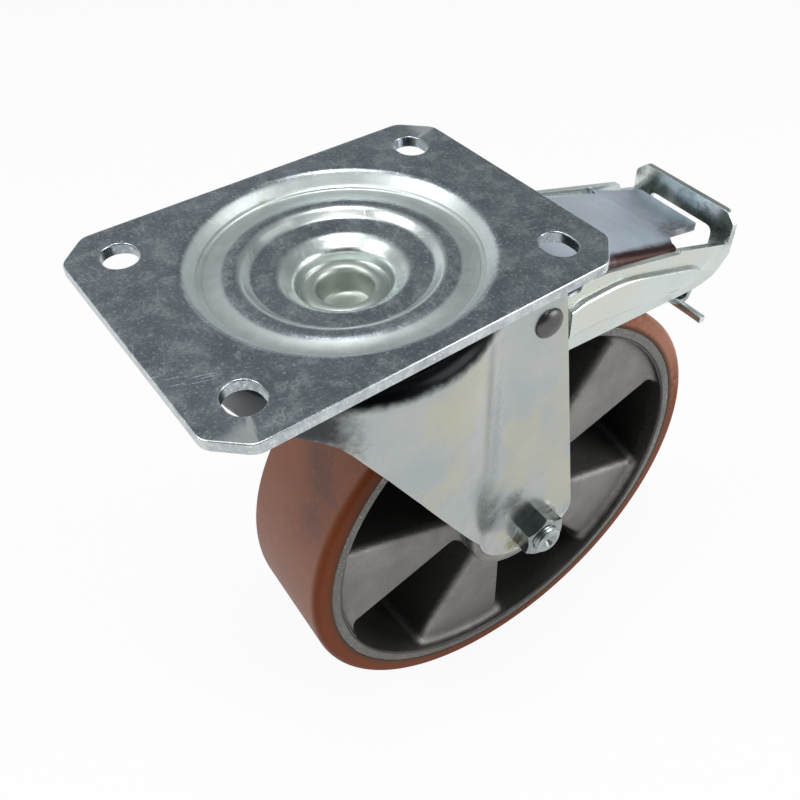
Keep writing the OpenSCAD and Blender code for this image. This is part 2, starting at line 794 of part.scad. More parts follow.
module leaf_plan() {
    wide_start = 86;
    wide_end = 132;
    notch_end = 136.5;
    neck_half_width = lever_inner_front - 3.5;
    neck_start = 80;
    polygon([
        [tongue_half_width, tongue_end], [tongue_half_width, notch_end],
        [lever_inside(wide_end), wide_end], [lever_inside(wide_start), wide_start],
        [neck_half_width, neck_start], [neck_half_width, 50], [9, 50],
        [tooth_width / 2, 42], [tooth_width / 2, 34],
        [-tooth_width / 2, 34], [-tooth_width / 2, 42], [-9, 50], [-neck_half_width, 50],
        [-neck_half_width, neck_start], [-lever_inside(wide_start), wide_start],
        [-lever_inside(wide_end), wide_end], [-tongue_half_width - 3.3, tongue_end]
    ]);
}

module brake_leaf() {
    flange_start = 88;
    flange_end = 131;
    color(blue_zinc) in_fork() {
        intersection() {
            along_x(-leg_half_width, leg_half_width) leaf_side();
            translate([0, 0, -tall]) linear_extrude(tall) leaf_plan();
        }
        for (side = [0, 1]) mirror([side, 0, 0]) intersection() {
            translate([0, 0, -tall]) linear_extrude(tall) polygon([
                [lever_inside(flange_start), flange_start],
                [lever_inside(flange_end), flange_end],
                [lever_inside(flange_end) - leaf_thickness, flange_end],
                [lever_inside(flange_start) - leaf_thickness, flange_start]
            ]);
            along_x(0, leg_half_width) polygon([
                [flange_start, -26.4], [105, -31.2], [flange_end, -38.6],
                [flange_end, -45], [105, -38.5], [flange_start, -33.5]
            ]);
        }
    }
}

module brake_shoe() {
    half = lever_inside(shoe_end + shoe_sheet);
    color(zinc) in_fork() along_x(-half, half) bent_strip([
        [125.5, -56], [130, -62.3], [141, -bar_top + shoe_sheet / 2],
        [144.6, -bar_top + shoe_sheet / 2], [shoe_end, -58]
    ], shoe_sheet);
}

module shoe_bar() {
    color(zinc) in_fork() translate([-bar_half_length, bar_front, -bar_top - bar_height])
        cube([2 * bar_half_length, bar_rear - bar_front, bar_height]);
}

top_plate();
kingpin();
lower_race();
locking_disc();
upper_balls();
lower_balls();
fork();
head_seal();
axle_bolt();
axle_nut();
axle_sleeve();
inner_spacer();
outer_spacers();
near_inner_ring();
far_inner_ring();
pivot_rivets();
pivot_washers();
wheel_centre();
tread();
near_outer_ring();
far_outer_ring();
near_seals();
far_seals();
near_balls();
near_cage();
far_balls();
far_cage();
brake_lever();
brake_leaf();
brake_shoe();
shoe_bar();
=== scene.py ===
"""Swivel castor: zinc plated plate, fork and pedal lever, cast aluminium wheel with a brown bonded tread."""
import bpy
import bmesh
import json
import math
import numpy as np
from mathutils import Vector, Matrix


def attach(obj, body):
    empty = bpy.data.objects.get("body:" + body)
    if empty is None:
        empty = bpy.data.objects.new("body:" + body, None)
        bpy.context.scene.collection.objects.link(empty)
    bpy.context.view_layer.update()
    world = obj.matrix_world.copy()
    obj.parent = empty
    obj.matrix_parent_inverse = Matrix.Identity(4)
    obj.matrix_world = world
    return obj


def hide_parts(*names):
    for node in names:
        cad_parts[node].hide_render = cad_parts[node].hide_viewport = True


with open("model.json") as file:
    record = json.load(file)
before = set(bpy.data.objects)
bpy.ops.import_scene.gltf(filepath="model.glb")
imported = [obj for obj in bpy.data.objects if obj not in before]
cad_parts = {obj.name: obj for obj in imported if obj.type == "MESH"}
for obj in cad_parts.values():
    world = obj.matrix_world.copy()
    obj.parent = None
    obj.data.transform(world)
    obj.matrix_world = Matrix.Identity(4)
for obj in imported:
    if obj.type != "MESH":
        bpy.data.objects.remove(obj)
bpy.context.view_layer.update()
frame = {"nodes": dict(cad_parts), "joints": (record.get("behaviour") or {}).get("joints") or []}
nodes = frame["nodes"]
joints = {joint["name"]: joint for joint in frame["joints"]}

MM = 0.001
AXLE_AXIS = Vector(joints["wheel_spin"]["axis"])
AXLE_CENTRE = Vector(joints["wheel_spin"]["pos_m"])
REST_TURN = math.atan2(AXLE_AXIS.y, AXLE_AXIS.x)
FORK_FRAME = Matrix.Rotation(REST_TURN, 4, "Z")
TRAIL = 59.0
AXLE_DEPTH = 145.0
PIVOT_Y = 54.5
PIVOT_DEPTH = 30.0
AXLE_PLACE = FORK_FRAME @ Matrix.Translation((0, TRAIL * MM, -AXLE_DEPTH * MM))
PIVOT_PLACE = FORK_FRAME @ Matrix.Translation((0, PIVOT_Y * MM, -PIVOT_DEPTH * MM))
ON_AXLE = AXLE_PLACE @ Matrix.Rotation(math.radians(90), 4, "Y")
# A prism's outline becomes Y and Z, and its height becomes X
SIDE_VIEW = Matrix(((0, 0, 1, 0), (1, 0, 0, 0), (0, 1, 0, 0), (0, 0, 0, 1)))
SIDEWAYS = FORK_FRAME @ SIDE_VIEW

LEG_HALF, HEAD_RADIUS = 37.5, 50.0
PIVOT_BORE = 4.05
NUT_CORNER, NUT_SEAT = 10.68, 36.9
LEVER_INSIDE = 27.5
HUB_RADIUS, RIM_RADIUS, FIELDS = 27.5, 87.2, 5
TREAD_RADIUS, TREAD_HALF, TREAD_SHOULDER, BOND_RADIUS = 100, 25, 3, 92


# Meshes

def mesh_from(name, points, faces, place=Matrix.Identity(4)):
    """A mesh object from points in millimetres, put in its place in the mesh itself."""
    mesh = bpy.data.meshes.new(name)
    mesh.from_pydata([tuple(c * MM for c in p) for p in points], [], faces)
    mesh.transform(place)
    mesh.validate()
    piece = bpy.data.objects.new(name, mesh)
    bpy.context.scene.collection.objects.link(piece)
    return piece


def tidy_mesh(piece, merge=1e-6):
    """Merges doubled points and turns all faces outwards."""
    shape = bmesh.new()
    shape.from_mesh(piece.data)
    bmesh.ops.remove_doubles(shape, verts=shape.verts, dist=merge)
    bmesh.ops.dissolve_degenerate(shape, edges=shape.edges, dist=1e-7)
    bmesh.ops.recalc_face_normals(shape, faces=shape.faces)
    shape.to_mesh(piece.data)
    shape.free()


def bake_modifiers(piece):
    """Turns the piece's modifiers into plain mesh."""
    bpy.context.view_layer.update()
    seen = piece.evaluated_get(bpy.context.evaluated_depsgraph_get())
    made = bpy.data.meshes.new_from_object(seen)
    old = piece.data
    piece.modifiers.clear()
    piece.data = made
    bpy.data.meshes.remove(old)


def shade(piece, angle):
    """Smooth faces with sharp edges kept above an angle."""
    piece.data.polygons.foreach_set("use_smooth", [True] * len(piece.data.polygons))
    piece.data.set_sharp_from_angle(angle=math.radians(angle))


def round_edges(piece, width, segments=2, angle=50):
    """Rounds every edge sharper than an angle, and keeps flat faces flat in the shading."""
    piece.data.polygons.foreach_set("use_smooth", [True] * len(piece.data.polygons))
    bevel = piece.modifiers.new("edges", "BEVEL")
    bevel.width = width * MM
    bevel.segments = segments
    bevel.limit_method = "ANGLE"
    bevel.angle_limit = math.radians(angle)
    bevel.use_clamp_overlap = True
    bevel.harden_normals = True
    bevel.loop_slide = False
    bevel.miter_outer = "MITER_ARC"
    bake_modifiers(piece)


def cut(piece, tool, operation="DIFFERENCE"):
    """Cuts one closed piece with another, which is used up."""
    change = piece.modifiers.new("cut", "BOOLEAN")
    change.operation = operation
    change.object = tool
    change.solver = "EXACT"
    bake_modifiers(piece)
    bpy.data.objects.remove(tool)


def join(pieces):
    """Puts several meshes into the first piece."""
    shape = bmesh.new()
    for part in pieces:
        shape.from_mesh(part.data)
    shape.to_mesh(pieces[0].data)
    shape.free()
    for part in pieces[1:]:
        bpy.data.objects.remove(part)
    return pieces[0]


def quads(one, two):
    """Faces between two equal closed lines of point numbers."""
    count = len(one)
    return [(one[i], one[(i + 1) % count], two[(i + 1) % count], two[i]) for i in range(count)]


def sleeve(lines, closed=False):
    """Faces between neighbours in a list of equal closed lines, and from the last to the first if closed."""
    pairs = zip(lines, lines[1:] + lines[:1] if closed else lines[1:])
    return [face for one, two in pairs for face in quads(one, two)]


def runs(count, length, start=0):
    """Lines of following point numbers."""
    return [range(start + i * length, start + (i + 1) * length) for i in range(count)]


def columns(count, length):
    """Lines of point numbers that lie as far apart as there are lines."""
    return [range(i, count * length, count) for i in range(count)]


def lathe(name, profile, steps, place=Matrix.Identity(4)):
    """A ring or shaft about Z from radius and height pairs; a shaft's profile starts and ends on the axis."""
    shaft = profile[0][0] == 0 and profile[-1][0] == 0
    angles = np.linspace(0, 2 * math.pi, steps, endpoint=False)
    points = [(r * math.cos(a), r * math.sin(a), z) for a in angles for r, z in profile]
    piece = mesh_from(name, points, sleeve(columns(len(profile), steps), not shaft), place)
    tidy_mesh(piece, 2e-6)
    return piece


def prism(name, outline, low, high, place=Matrix.Identity(4)):
    """A closed prism from an outline, between two heights."""
    bottom, top = runs(2, len(outline))
    points = [(x, y, z) for z in (low, high) for x, y in outline]
    piece = mesh_from(name, points, [tuple(reversed(bottom)), tuple(top)] + quads(bottom, top), place)
    tidy_mesh(piece)
    return piece


def flat_with_holes(loops):
    """Points and triangles of a flat face whose first loop is the outline and the others are holes."""
    shape = bmesh.new()
    edges = []
    for loop in loops:
        corners = [shape.verts.new((x, y, 0)) for x, y in loop]
        edges += [shape.edges.new((corners[i], corners[(i + 1) % len(corners)])) for i in range(len(corners))]
    shape.verts.index_update()
    bmesh.ops.triangle_fill(shape, edges=edges, use_beauty=True, normal=(0, 0, 1))
    shape.verts.index_update()
    points = [(v.co.x, v.co.y) for v in shape.verts]
    triangles = [[v.index for v in face.verts] for face in shape.faces]
    shape.free()
    return points, triangles


def arc(centre, radius, start, end, steps):
    """Points of an arc, angles in degrees."""
    return [(centre[0] + radius * math.cos(math.radians(a)), centre[1] + radius * math.sin(math.radians(a)))
            for a in np.linspace(start, end, steps)]


def bend(start, corner, end, steps):
    """Points of a soft bend that leans towards a corner."""
    return [tuple((1 - t) ** 2 * start + 2 * t * (1 - t) * corner + t * t * end)
            for t in np.linspace(0, 1, steps)]


def right_of(ways):
    """Unit vectors to the right of directions in a plane."""
    ways = ways / np.linalg.norm(ways, axis=1)[:, None]
    return np.c_[ways[:, 1], -ways[:, 0]]


def rounded(outline, radius, steps=5):
    """An outline with every corner rounded by up to a radius."""
    result = []
    count = len(outline)
    for i in range(count):
        corner = np.array(outline[i], float)
        before = np.array(outline[i - 1], float) - corner
        after = np.array(outline[(i + 1) % count], float) - corner
        near, far = np.linalg.norm(before), np.linalg.norm(after)
        reach = min(radius[i] if isinstance(radius, list) else radius, near * 0.45, far * 0.45)
        if reach < 0.05:
            result.append(tuple(corner))
            continue
        result += bend(corner + before / near * reach, corner, corner + after / far * reach, steps)
    return result


def smooth_profile(points, step):
    """A smooth curve through points, as an even polyline."""
    p = np.array(points, float)
    p = np.vstack([2 * p[0] - p[1], p, 2 * p[-1] - p[-2]])
    out = []
    for i in range(1, len(p) - 2):
        length = np.linalg.norm(p[i + 1] - p[i])
        n = max(2, int(math.ceil(length / step)))
        pulls = [0.5 * (p[i + 1] - p[i - 1]), 0.5 * (p[i + 2] - p[i])]
        m0, m1 = [pull * min(1.0, length / max(np.linalg.norm(pull), 1e-9)) for pull in pulls]
        for t in np.arange(n) / n:
            h = (2 * t**3 - 3 * t**2 + 1, t**3 - 2 * t**2 + t, -2 * t**3 + 3 * t**2, t**3 - t**2)
            out.append(tuple(h[0] * p[i] + h[1] * m0 + h[2] * p[i + 1] + h[3] * m1))
    out.append(tuple(p[-2]))
    return out


def finish_piece(piece, material, body, slot, *replaced):
    """Gives a piece its material and its body, and hides the nodes that it stands for; the slot is not used.
    """
    piece.data.materials.clear()
    piece.data.materials.append(material)
    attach(piece, body)
    if replaced:
        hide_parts(*replaced)


# Nodes and shader groups

class Nodes:
    """Short ways to add linked nodes to a node tree."""

    def __init__(self, tree):
        self.tree = tree

    def supply(self, socket, value):
        """Links a socket to another one, or sets its own number, vector or colour."""
        if isinstance(value, bpy.types.NodeSocket):
            self.tree.links.new(value, socket)
        elif socket.type == "RGBA":
            socket.default_value = (*value, 1)
        else:
            socket.default_value = value

    def add(self, kind, inputs=(), **settings):
        """A node with its settings, and values for its inputs by label or number."""
        node = self.tree.nodes.new(kind)
        for setting, value in settings.items():
            setattr(node, setting, value)
        for label, value in dict(inputs).items():
            self.supply(node.inputs[label], value)
        return node

    def number(self, operation, *parts, clamp=False):
        return self.add("ShaderNodeMath", enumerate(parts), operation=operation, use_clamp=clamp).outputs[0]

    def times(self, one, two):
        return self.number("MULTIPLY", one, two)

    def vector(self, operation, *parts):
        node = self.add("ShaderNodeVectorMath", enumerate(parts), operation=operation)
        return node.outputs["Value" if operation in ("LENGTH", "DOT_PRODUCT") else "Vector"]

    def spread(self, value, low, high, to_low=0.0, to_high=1.0):
        """A clamped smooth range of a value."""
        given = {"Value": value, "From Min": low, "From Max": high, "To Min": to_low, "To Max": to_high}
        return self.add("ShaderNodeMapRange", given, interpolation_type="SMOOTHSTEP").outputs["Result"]

    def noise(self, position, scale, detail, roughness, stretch=None):
        """Noise around a position, or in a stretched copy of it."""
        if stretch:
            position = self.add("ShaderNodeMapping", {"Vector": position, "Scale": stretch}).outputs[0]
        given = {"Vector": position, "Scale": scale, "Detail": detail, "Roughness": roughness}
        return self.add("ShaderNodeTexNoise", given).outputs[0]


def new_group(name, inputs, *outputs):
    """A shader node group; inputs are numbers by name beside Position, outputs are numbers too."""
    group = bpy.data.node_groups.new(name, "ShaderNodeTree")
    face = group.interface
    face.new_socket(name="Position", in_out="INPUT", socket_type="NodeSocketVector")
    for label, value in inputs.items():
        face.new_socket(name=label, in_out="INPUT", socket_type="NodeSocketFloat").default_value = value
    for label in outputs:
        face.new_socket(name=label, in_out="OUTPUT", socket_type="NodeSocketFloat")
    return Nodes(group), group.nodes.new("NodeGroupInput").outputs, group.nodes.new("NodeGroupOutput").inputs


def make_scratches():
    """Long thin lines in several directions, broken up by noise."""
    g, given, result = new_group("scratches", {"Amount": 0.5}, "Mask")
    lines = []
    for turn, length, fine in ((0.35, 90, 2600), (1.9, 70, 2100), (2.7, 110, 3000)):
        along = {"Vector": given["Position"], "Angle": turn}
        spin = g.add("ShaderNodeVectorRotate", along, rotation_type="Z_AXIS")
        streak = g.noise(spin.outputs[0], 1.0, 1.0, 0.4, (length, fine, length))
        patch = g.noise(spin.outputs[0], 38.0, 2.0, 0.5)
        lines.append(g.times(g.spread(streak, 0.66, 0.74), g.spread(patch, 0.48, 0.64)))
    most = g.number("MAXIMUM", g.number("MAXIMUM", lines[0], lines[1]), lines[2])
    g.supply(result["Mask"], g.number("MULTIPLY", most, given["Amount"], clamp=True))
    return g.tree


def make_mottle():
    """Cloudy stains and fine specks of plated steel."""
    scales = {"Cloud Scale": 60.0, "Speck Scale": 900.0}
    g, given, result = new_group("plating_mottle", scales, "Cloud", "Specks")
    cloud = g.noise(given["Position"], given["Cloud Scale"], 5.0, 0.6)
    speck = g.noise(given["Position"], given["Speck Scale"], 2.0, 0.6)
    g.supply(result["Cloud"], g.spread(cloud, 0.34, 0.66))
    g.supply(result["Specks"], g.spread(speck, 0.56, 0.72))
    return g.tree


def make_grain():
    """Cast or moulded grain as a height."""
    scales = {"Coarse Scale": 400.0, "Fine Scale": 1500.0, "Fine Share": 0.5}
    g, given, result = new_group("surface_grain", scales, "Height")
    coarse = g.noise(given["Position"], given["Coarse Scale"], 3.0, 0.55)
    fine = g.noise(given["Position"], given["Fine Scale"], 2.0, 0.6)
    g.supply(result["Height"], g.number("ADD", g.times(fine, given["Fine Share"]), coarse))
    return g.tree


def make_edge_wear_sheen_and_shade():
    """Convex edges lightened for rubbed wear and painted sheen, and concave corners darkened as painted
    shade, from the shape's pointiness.
    """
    flat_high, flat_low = 0.515, 0.49
    g, given, result = new_group("edge_wear_sheen_and_corner_shade", {"Width": 0.06}, "Edge", "Corner")
    point = g.add("ShaderNodeNewGeometry").outputs["Pointiness"]
    broken = g.noise(given["Position"], 260.0, 3.0, 0.6)
    shifted = g.number("ADD", point, g.times(g.number("SUBTRACT", broken, 0.5), 0.03))
    high = g.number("ADD", flat_high, given["Width"])
    low = g.number("SUBTRACT", flat_low, given["Width"])
    g.supply(result["Edge"], g.spread(shifted, flat_high, high))
    g.supply(result["Corner"], g.spread(shifted, low, flat_low, 1.0, 0.0))
    return g.tree


SCRATCHES, MOTTLE, GRAIN, EDGE_WEAR_SHEEN_AND_SHADE = make_scratches(), make_mottle(), make_grain(), make_edge_wear_sheen_and_shade()


class Finish(Nodes):
    """A material whose Principled BSDF is fed by masks in object coordinates."""

    def __init__(self, name, **values):
        self.material = bpy.data.materials.new(name)
        self.material.use_nodes = True
        super().__init__(self.material.node_tree)
        self.shader = self.tree.nodes["Principled BSDF"]
        for label, value in values.items():
            self.shader.inputs[label.replace("_", " ")].default_value = value
        self.position = self.add("ShaderNodeTexCoord").outputs["Object"]

    def use(self, group, **values):
        """The outputs of a shader group at the shaded point."""
        given = {label.replace("_", " "): value for label, value in values.items()}
        return self.add("ShaderNodeGroup", {"Position": self.position, **given}, node_tree=group).outputs

    def colour(self, base, *layers):
        """Lays colours over a base, each by a mask and a share, and feeds Base Color."""
        for mask, share, tint in layers:
            amount = mask if share == 1 else self.times(mask, share)
            base = self.add("ShaderNodeMix", {6: base, 7: tint, 0: amount}, data_type="RGBA").outputs[2]
        self.feed("Base Color", base)

    def feed(self, label, value):
        self.supply(self.shader.inputs[label], value)

    def bump(self, height, strength, distance):
        node = self.add("ShaderNodeBump", {"Strength": strength, "Distance": distance, "Height": height})
        self.feed("Normal", node.outputs[0])

    def spot(self, centre, size, tall=1.0):
        """A ragged patch around a point, used both for stains and for painted light, longer than wide where
        it is made tall.
        """
        away = self.vector("MULTIPLY", self.vector("SUBTRACT", self.position, centre), (1, 1, 1 / tall))
        ragged = self.number("MULTIPLY_ADD", self.noise(self.position, 420.0, 4.0, 0.7), size * 1.6,
                             self.vector("LENGTH", away))
        return self.spread(ragged, size * 0.9, size * 1.9, 1.0, 0.0)

    def band(self, planes):
        """A mask that is full where every plane is passed: a centre, a direction, a start and an end."""
        sides = []
        for centre, direction, start, end in planes:
            width = end - start
            broken = self.number("MULTIPLY_ADD", self.noise(self.position, 300.0, 3.0, 0.6), width * 0.6,
                                 self.height_over(centre, direction))
            sides.append(self.spread(broken, start + width * 0.3, end + width * 0.3))
        return self.times(*sides)

    def height_over(self, centre, axis):
        """Signed height of the shaded point over a plane, in metres."""
        return self.vector("DOT_PRODUCT", self.vector("SUBTRACT", self.position, centre), axis)

    def from_wheel_middle(self):
        """Distance of the shaded point from the wheel's middle plane, in metres."""
        return self.number("ABSOLUTE", self.height_over(AXLE_CENTRE, AXLE_AXIS))

    def axis_distance(self, centre, axis):
        """Distance of the shaded point from a line, in metres."""
        away = self.vector("SUBTRACT", self.position, centre)
        return self.vector("LENGTH", self.vector("CROSS_PRODUCT", away, axis))


# Finishes

def plate_zinc():
    """Dark mottled flats and crests, slopes and funnel lightened as a painted sheen, thin turned lines on the
    dish's step.
    """
    f = Finish("plate_zinc", Metallic=1.0)
    mottle = f.use(MOTTLE, Cloud_Scale=55.0, Speck_Scale=900.0)
    scratch = f.use(SCRATCHES, Amount=0.55)["Mask"]
    edge = f.use(EDGE_WEAR_SHEEN_AND_SHADE, Width=0.05)
    ring = f.axis_distance((0, 0, 0), (0, 0, 1))

    def ring_between(start, full, fading, end):
        return f.times(f.spread(ring, start, full), f.spread(ring, fading, end, 1.0, 0.0))

    outer_slope = ring_between(0.0362, 0.0378, 0.0462, 0.0481)
    inner_slope = ring_between(0.028, 0.0292, 0.0312, 0.033)
    funnel = f.spread(ring, 0.0195, 0.0215, 1.0, 0.0)
    # Slopes and funnel lightened in the colour as a painted sheen
    painted_slope_sheen = f.number("MAXIMUM", f.number("MAXIMUM", outer_slope, inner_slope), funnel)
    patch = f.noise(f.position, 150.0, 5.0, 0.68)
    fine = f.noise(f.position, 1100.0, 3.0, 0.6)
    line_pitch = 0.00085
    turned = f.number("SINE", f.times(ring, 2 * math.pi / line_pitch))
    turned = f.times(f.spread(turned, 0.2, 0.9), ring_between(0.0418, 0.0424, 0.0448, 0.0454))
    f.colour((0.37, 0.415, 0.445),
             (mottle["Cloud"], 0.75, (0.23, 0.265, 0.29)),
             (f.spread(patch, 0.47, 0.62), 0.6, (0.56, 0.61, 0.63)),
             (f.spread(fine, 0.47, 0.62), 0.5, (0.2, 0.23, 0.255)),
             # Painted sheen on the slopes and the funnel, and more on the outer slope
             (painted_slope_sheen, 0.9, (0.78, 0.84, 0.81)),
             (outer_slope, 0.8, (0.66, 0.715, 0.7)),
             (turned, 0.45, (0.34, 0.4, 0.4)),
             (f.times(painted_slope_sheen, mottle["Cloud"]), 0.35, (0.5, 0.55, 0.55)),
             (mottle["Specks"], 0.7, (0.75, 0.8, 0.82)),
             (scratch, 1, (0.76, 0.8, 0.82)),
             (f.spot((-0.0455, -0.0026, -0.0055), 0.0025), 0.7, (0.36, 0.28, 0.08)),
             (edge["Edge"], 1, (0.8, 0.83, 0.83)))
    rough = f.number("ADD", f.times(patch, 0.22), 0.2)
    rough = f.number("ADD", rough, f.times(outer_slope, 0.14))
    f.feed("Roughness", f.number("ADD", rough, f.times(scratch, 0.15), clamp=True))
    height = f.number("ADD", f.times(patch, 0.5), f.times(fine, 0.35))
    f.bump(f.number("SUBTRACT", height, scratch), 0.3, 0.0002)
    return f.material


def bright_zinc(name, base, tint, stain, rough=0.24, stain_and_painted_light_spots=(), painted_light_bands=(), edge_rub_and_sheen=1.4):
    """Passivated zinc: clouds of a tint, a second stain, ragged stains and patches of painted light, bands of
    painted shade and painted reflection, painted shade in corners and edges lightened for wear and painted
    sheen.

    A spot is a centre, a size, a colour and, where it is taller than wide, by how much.
    """
    f = Finish(name, Metallic=1.0)
    mottle = f.use(MOTTLE, Cloud_Scale=32.0, Speck_Scale=1100.0)
    edge = f.use(EDGE_WEAR_SHEEN_AND_SHADE, Width=0.07)
    streak = f.noise(f.position, 1.0, 3.0, 0.6, (60, 60, 420))
    stains = f.noise(f.position, 1.0, 3.0, 0.55, (38, 30, 24))
    f.colour(base,
             (mottle["Cloud"], 0.7, tint),
             (f.spread(stains, 0.47, 0.6), 0.75, stain),
             (mottle["Specks"], 0.15, tuple(c * 0.6 for c in base)),
             *[(f.spot(centre, size, *tall), 0.85, dark) for centre, size, dark, *tall in stain_and_painted_light_spots],
             # Painted shade in concave corners; edges lightened for wear and painted sheen
             (edge["Corner"], 1, tuple(c * 0.5 for c in base)),
             (edge["Edge"], 1, tuple(min(1.0, c * edge_rub_and_sheen) for c in base)),
             # Bands of painted shade and painted reflection
             *[(f.band(planes), 1, dark) for planes, dark in painted_light_bands])
    cloudy = f.times(mottle["Cloud"], 0.12)
    f.feed("Roughness", f.number("ADD", f.number("MULTIPLY_ADD", streak, 0.1, rough - 0.05), cloudy))
    f.bump(f.number("ADD", streak, f.times(mottle["Cloud"], 0.5)), 0.06, 0.00025)
    return f.material


def cast_aluminium():
    """Sandy grey casting with painted shade in the pockets, in concave corners and on the rim's inner wall,
    painted highlights on the fillets, and a machined rim face.
    """
    f = Finish("cast_aluminium", Metallic=0.85)
    radius = f.axis_distance(AXLE_CENTRE, AXLE_AXIS)
    face = f.times(f.spread(f.from_wheel_middle(), 0.0246, 0.0249), f.spread(radius, 0.0881, 0.0887))
    grain = f.use(GRAIN, Coarse_Scale=420.0, Fine_Scale=1500.0, Fine_Share=0.8)["Height"]
    mottle = f.use(MOTTLE, Cloud_Scale=30.0, Speck_Scale=2200.0)
    edge = f.use(EDGE_WEAR_SHEEN_AND_SHADE, Width=0.05)
    # Painted shade in the pockets, near the wheel's middle
    painted_pocket_shade = f.spread(f.from_wheel_middle(), 0.0155, 0.0195, 1.0, 0.0)
    # Painted shade on the rim's inner wall, short of the machined face
    wall = f.times(f.spread(radius, 0.0862, 0.0871), f.number("SUBTRACT", 1.0, face))
    f.colour((0.26, 0.25, 0.236),
             (mottle["Cloud"], 0.6, (0.165, 0.158, 0.15)),
             (mottle["Specks"], 0.5, (0.42, 0.405, 0.385)),
             # Painted highlights on the fillets, then painted shade in corners, pockets and on the rim's
             # inner wall
             (edge["Edge"], 0.5, (0.6, 0.59, 0.56)),
             (painted_pocket_shade, 0.85, (0.1, 0.097, 0.092)),
             (edge["Corner"], 1, (0.05, 0.048, 0.045)),
             (wall, 0.85, (0.05, 0.048, 0.045)),
             (face, 1, (0.14, 0.137, 0.128)),
             (f.times(face, mottle["Specks"]), 1, (0.6, 0.59, 0.55)))
    f.feed("Roughness", f.number("MULTIPLY_ADD", mottle["Cloud"], 0.12, 0.42))
    f.bump(grain, 0.55, 0.0005)
    return f.material


def brown_tread():
    """Brown elastomer, dusty on the running face and orange brown on the sides, with scuffs at the front and
    a painted patch of light on the upper back.
    """
    f = Finish("brown_tread", Specular_IOR_Level=0.35)
    mottle = f.use(MOTTLE, Cloud_Scale=22.0, Speck_Scale=500.0)
    grain = f.use(GRAIN, Coarse_Scale=300.0, Fine_Scale=1700.0, Fine_Share=0.6)["Height"]
    radius = f.axis_distance(AXLE_CENTRE, AXLE_AXIS)
    side = f.spread(f.from_wheel_middle(), 0.0215, 0.0248)
    inner = f.spread(radius, 0.0925, 0.0945, 1.0, 0.0)
    scuff = f.noise(f.position, 1.0, 4.0, 0.65, (70, 70, 300))
    scraped = f.times(f.spread(scuff, 0.52, 0.64), f.spread(mottle["Cloud"], 0.3, 0.8))
    scuffs = [(0.0084, -0.0227, -0.0869), (-0.0001, -0.0184, -0.0818), (0.0113, -0.0302, -0.0991)]
    f.colour((0.245, 0.092, 0.052),
             (mottle["Cloud"], 0.6, (0.2, 0.07, 0.038)),
             (scraped, 0.6, (0.16, 0.075, 0.055)),
             (mottle["Specks"], 0.25, (0.15, 0.055, 0.03)),
             *[(f.spot(centre, 0.011), 0.65, (0.12, 0.062, 0.05)) for centre in scuffs],
             (side, 1, (0.165, 0.036, 0.007)),
             # Painted light: the tread's upper back made lighter and paler
             (f.spot((0.03, 0.135, -0.085), 0.055), 0.8, (0.42, 0.19, 0.125)),
             (f.times(side, inner), 1, (0.09, 0.035, 0.014)))
    f.feed("Roughness", f.number("SUBTRACT", f.number("MULTIPLY_ADD", scuff, 0.2, 0.36), f.times(side, 0.06)))
    f.feed("Specular IOR Level", f.number("MULTIPLY_ADD", side, -0.27, 0.35))
    f.bump(grain, 0.18, 0.0004)
    return f.material


def plain_steel(name, base, rough):
    """Bare steel with faint clouds and specks."""
    f = Finish(name, Metallic=1.0)
    mottle = f.use(MOTTLE, Cloud_Scale=70.0, Speck_Scale=1200.0)
    f.colour(base, (mottle["Cloud"], 0.6, tuple(c * 0.75 for c in base)),
             (mottle["Specks"], 0.4, tuple(min(1, c * 1.3) for c in base)))
    f.feed("Roughness", f.number("MULTIPLY_ADD", mottle["Cloud"], 0.12, rough))
    f.bump(mottle["Specks"], 0.1, 0.0001)
    return f.material


def matt_plastic(name, base):
    """Dull grainy plastic or rubber."""
    f = Finish(name)
    mottle = f.use(MOTTLE, Cloud_Scale=80.0, Speck_Scale=1200.0)
    grain = f.use(GRAIN, Coarse_Scale=600.0, Fine_Scale=2200.0, Fine_Share=0.6)["Height"]
    f.colour(base, (mottle["Cloud"], 1, tuple(c * 1.6 + 0.004 for c in base)),
             (mottle["Specks"], 0.4, tuple(c * 2.2 + 0.01 for c in base)))
    f.feed("Roughness", f.number("MULTIPLY_ADD", mottle["Cloud"], 0.15, 0.5))
    f.bump(grain, 0.2, 0.0002)
    return f.material


PLATE = plate_zinc()
FORK_ZINC = bright_zinc(
    "fork_zinc", (0.44, 0.465, 0.45), (0.38, 0.425, 0.44), (0.485, 0.475, 0.375), 0.2,
    # Painted shade along the leg's crease (first, second and fifth), painted dark reflections on the front of
    # the skirt (third and fourth), a painted shadow beside the nut, and a yellow-brown stain beside the nut
    [((0.0388, 0.0304, -0.1104), 0.007, (0.21, 0.23, 0.24)),
     ((0.0385, 0.031, -0.121), 0.006, (0.19, 0.21, 0.22)),
     ((0.0364, -0.0278, -0.0358), 0.009, (0.1, 0.11, 0.12)),
     ((0.03, -0.038, -0.03), 0.012, (0.06, 0.065, 0.07)),
     ((0.0385, 0.0305, -0.07), 0.0045, (0.27, 0.31, 0.33), 11.0),
     ((0.0393, 0.0435, -0.119), 0.0085, (0.13, 0.145, 0.15)),
     ((0.0395, 0.0472, -0.1478), 0.007, (0.13, 0.1, 0.012))],
    # Painted shade on the shoulder in the plate's shade, and on the top of the skirt's front
    [([((0, 0, 0), (0, 0, 1), -0.0225, -0.0185), ((0, 0.036, 0), (0, -1, 0), 0.0, 0.012)],
      (0.012, 0.013, 0.014)),
     ([((0, -0.021, 0), (0, -1, 0), 0.0, 0.012), ((0, 0, -0.0375), (0, 0, 1), 0.0, 0.008)],
      (0.05, 0.055, 0.06))])
ZINC = bright_zinc("zinc", (0.5, 0.53, 0.5), (0.42, 0.46, 0.44), (0.5, 0.5, 0.42))
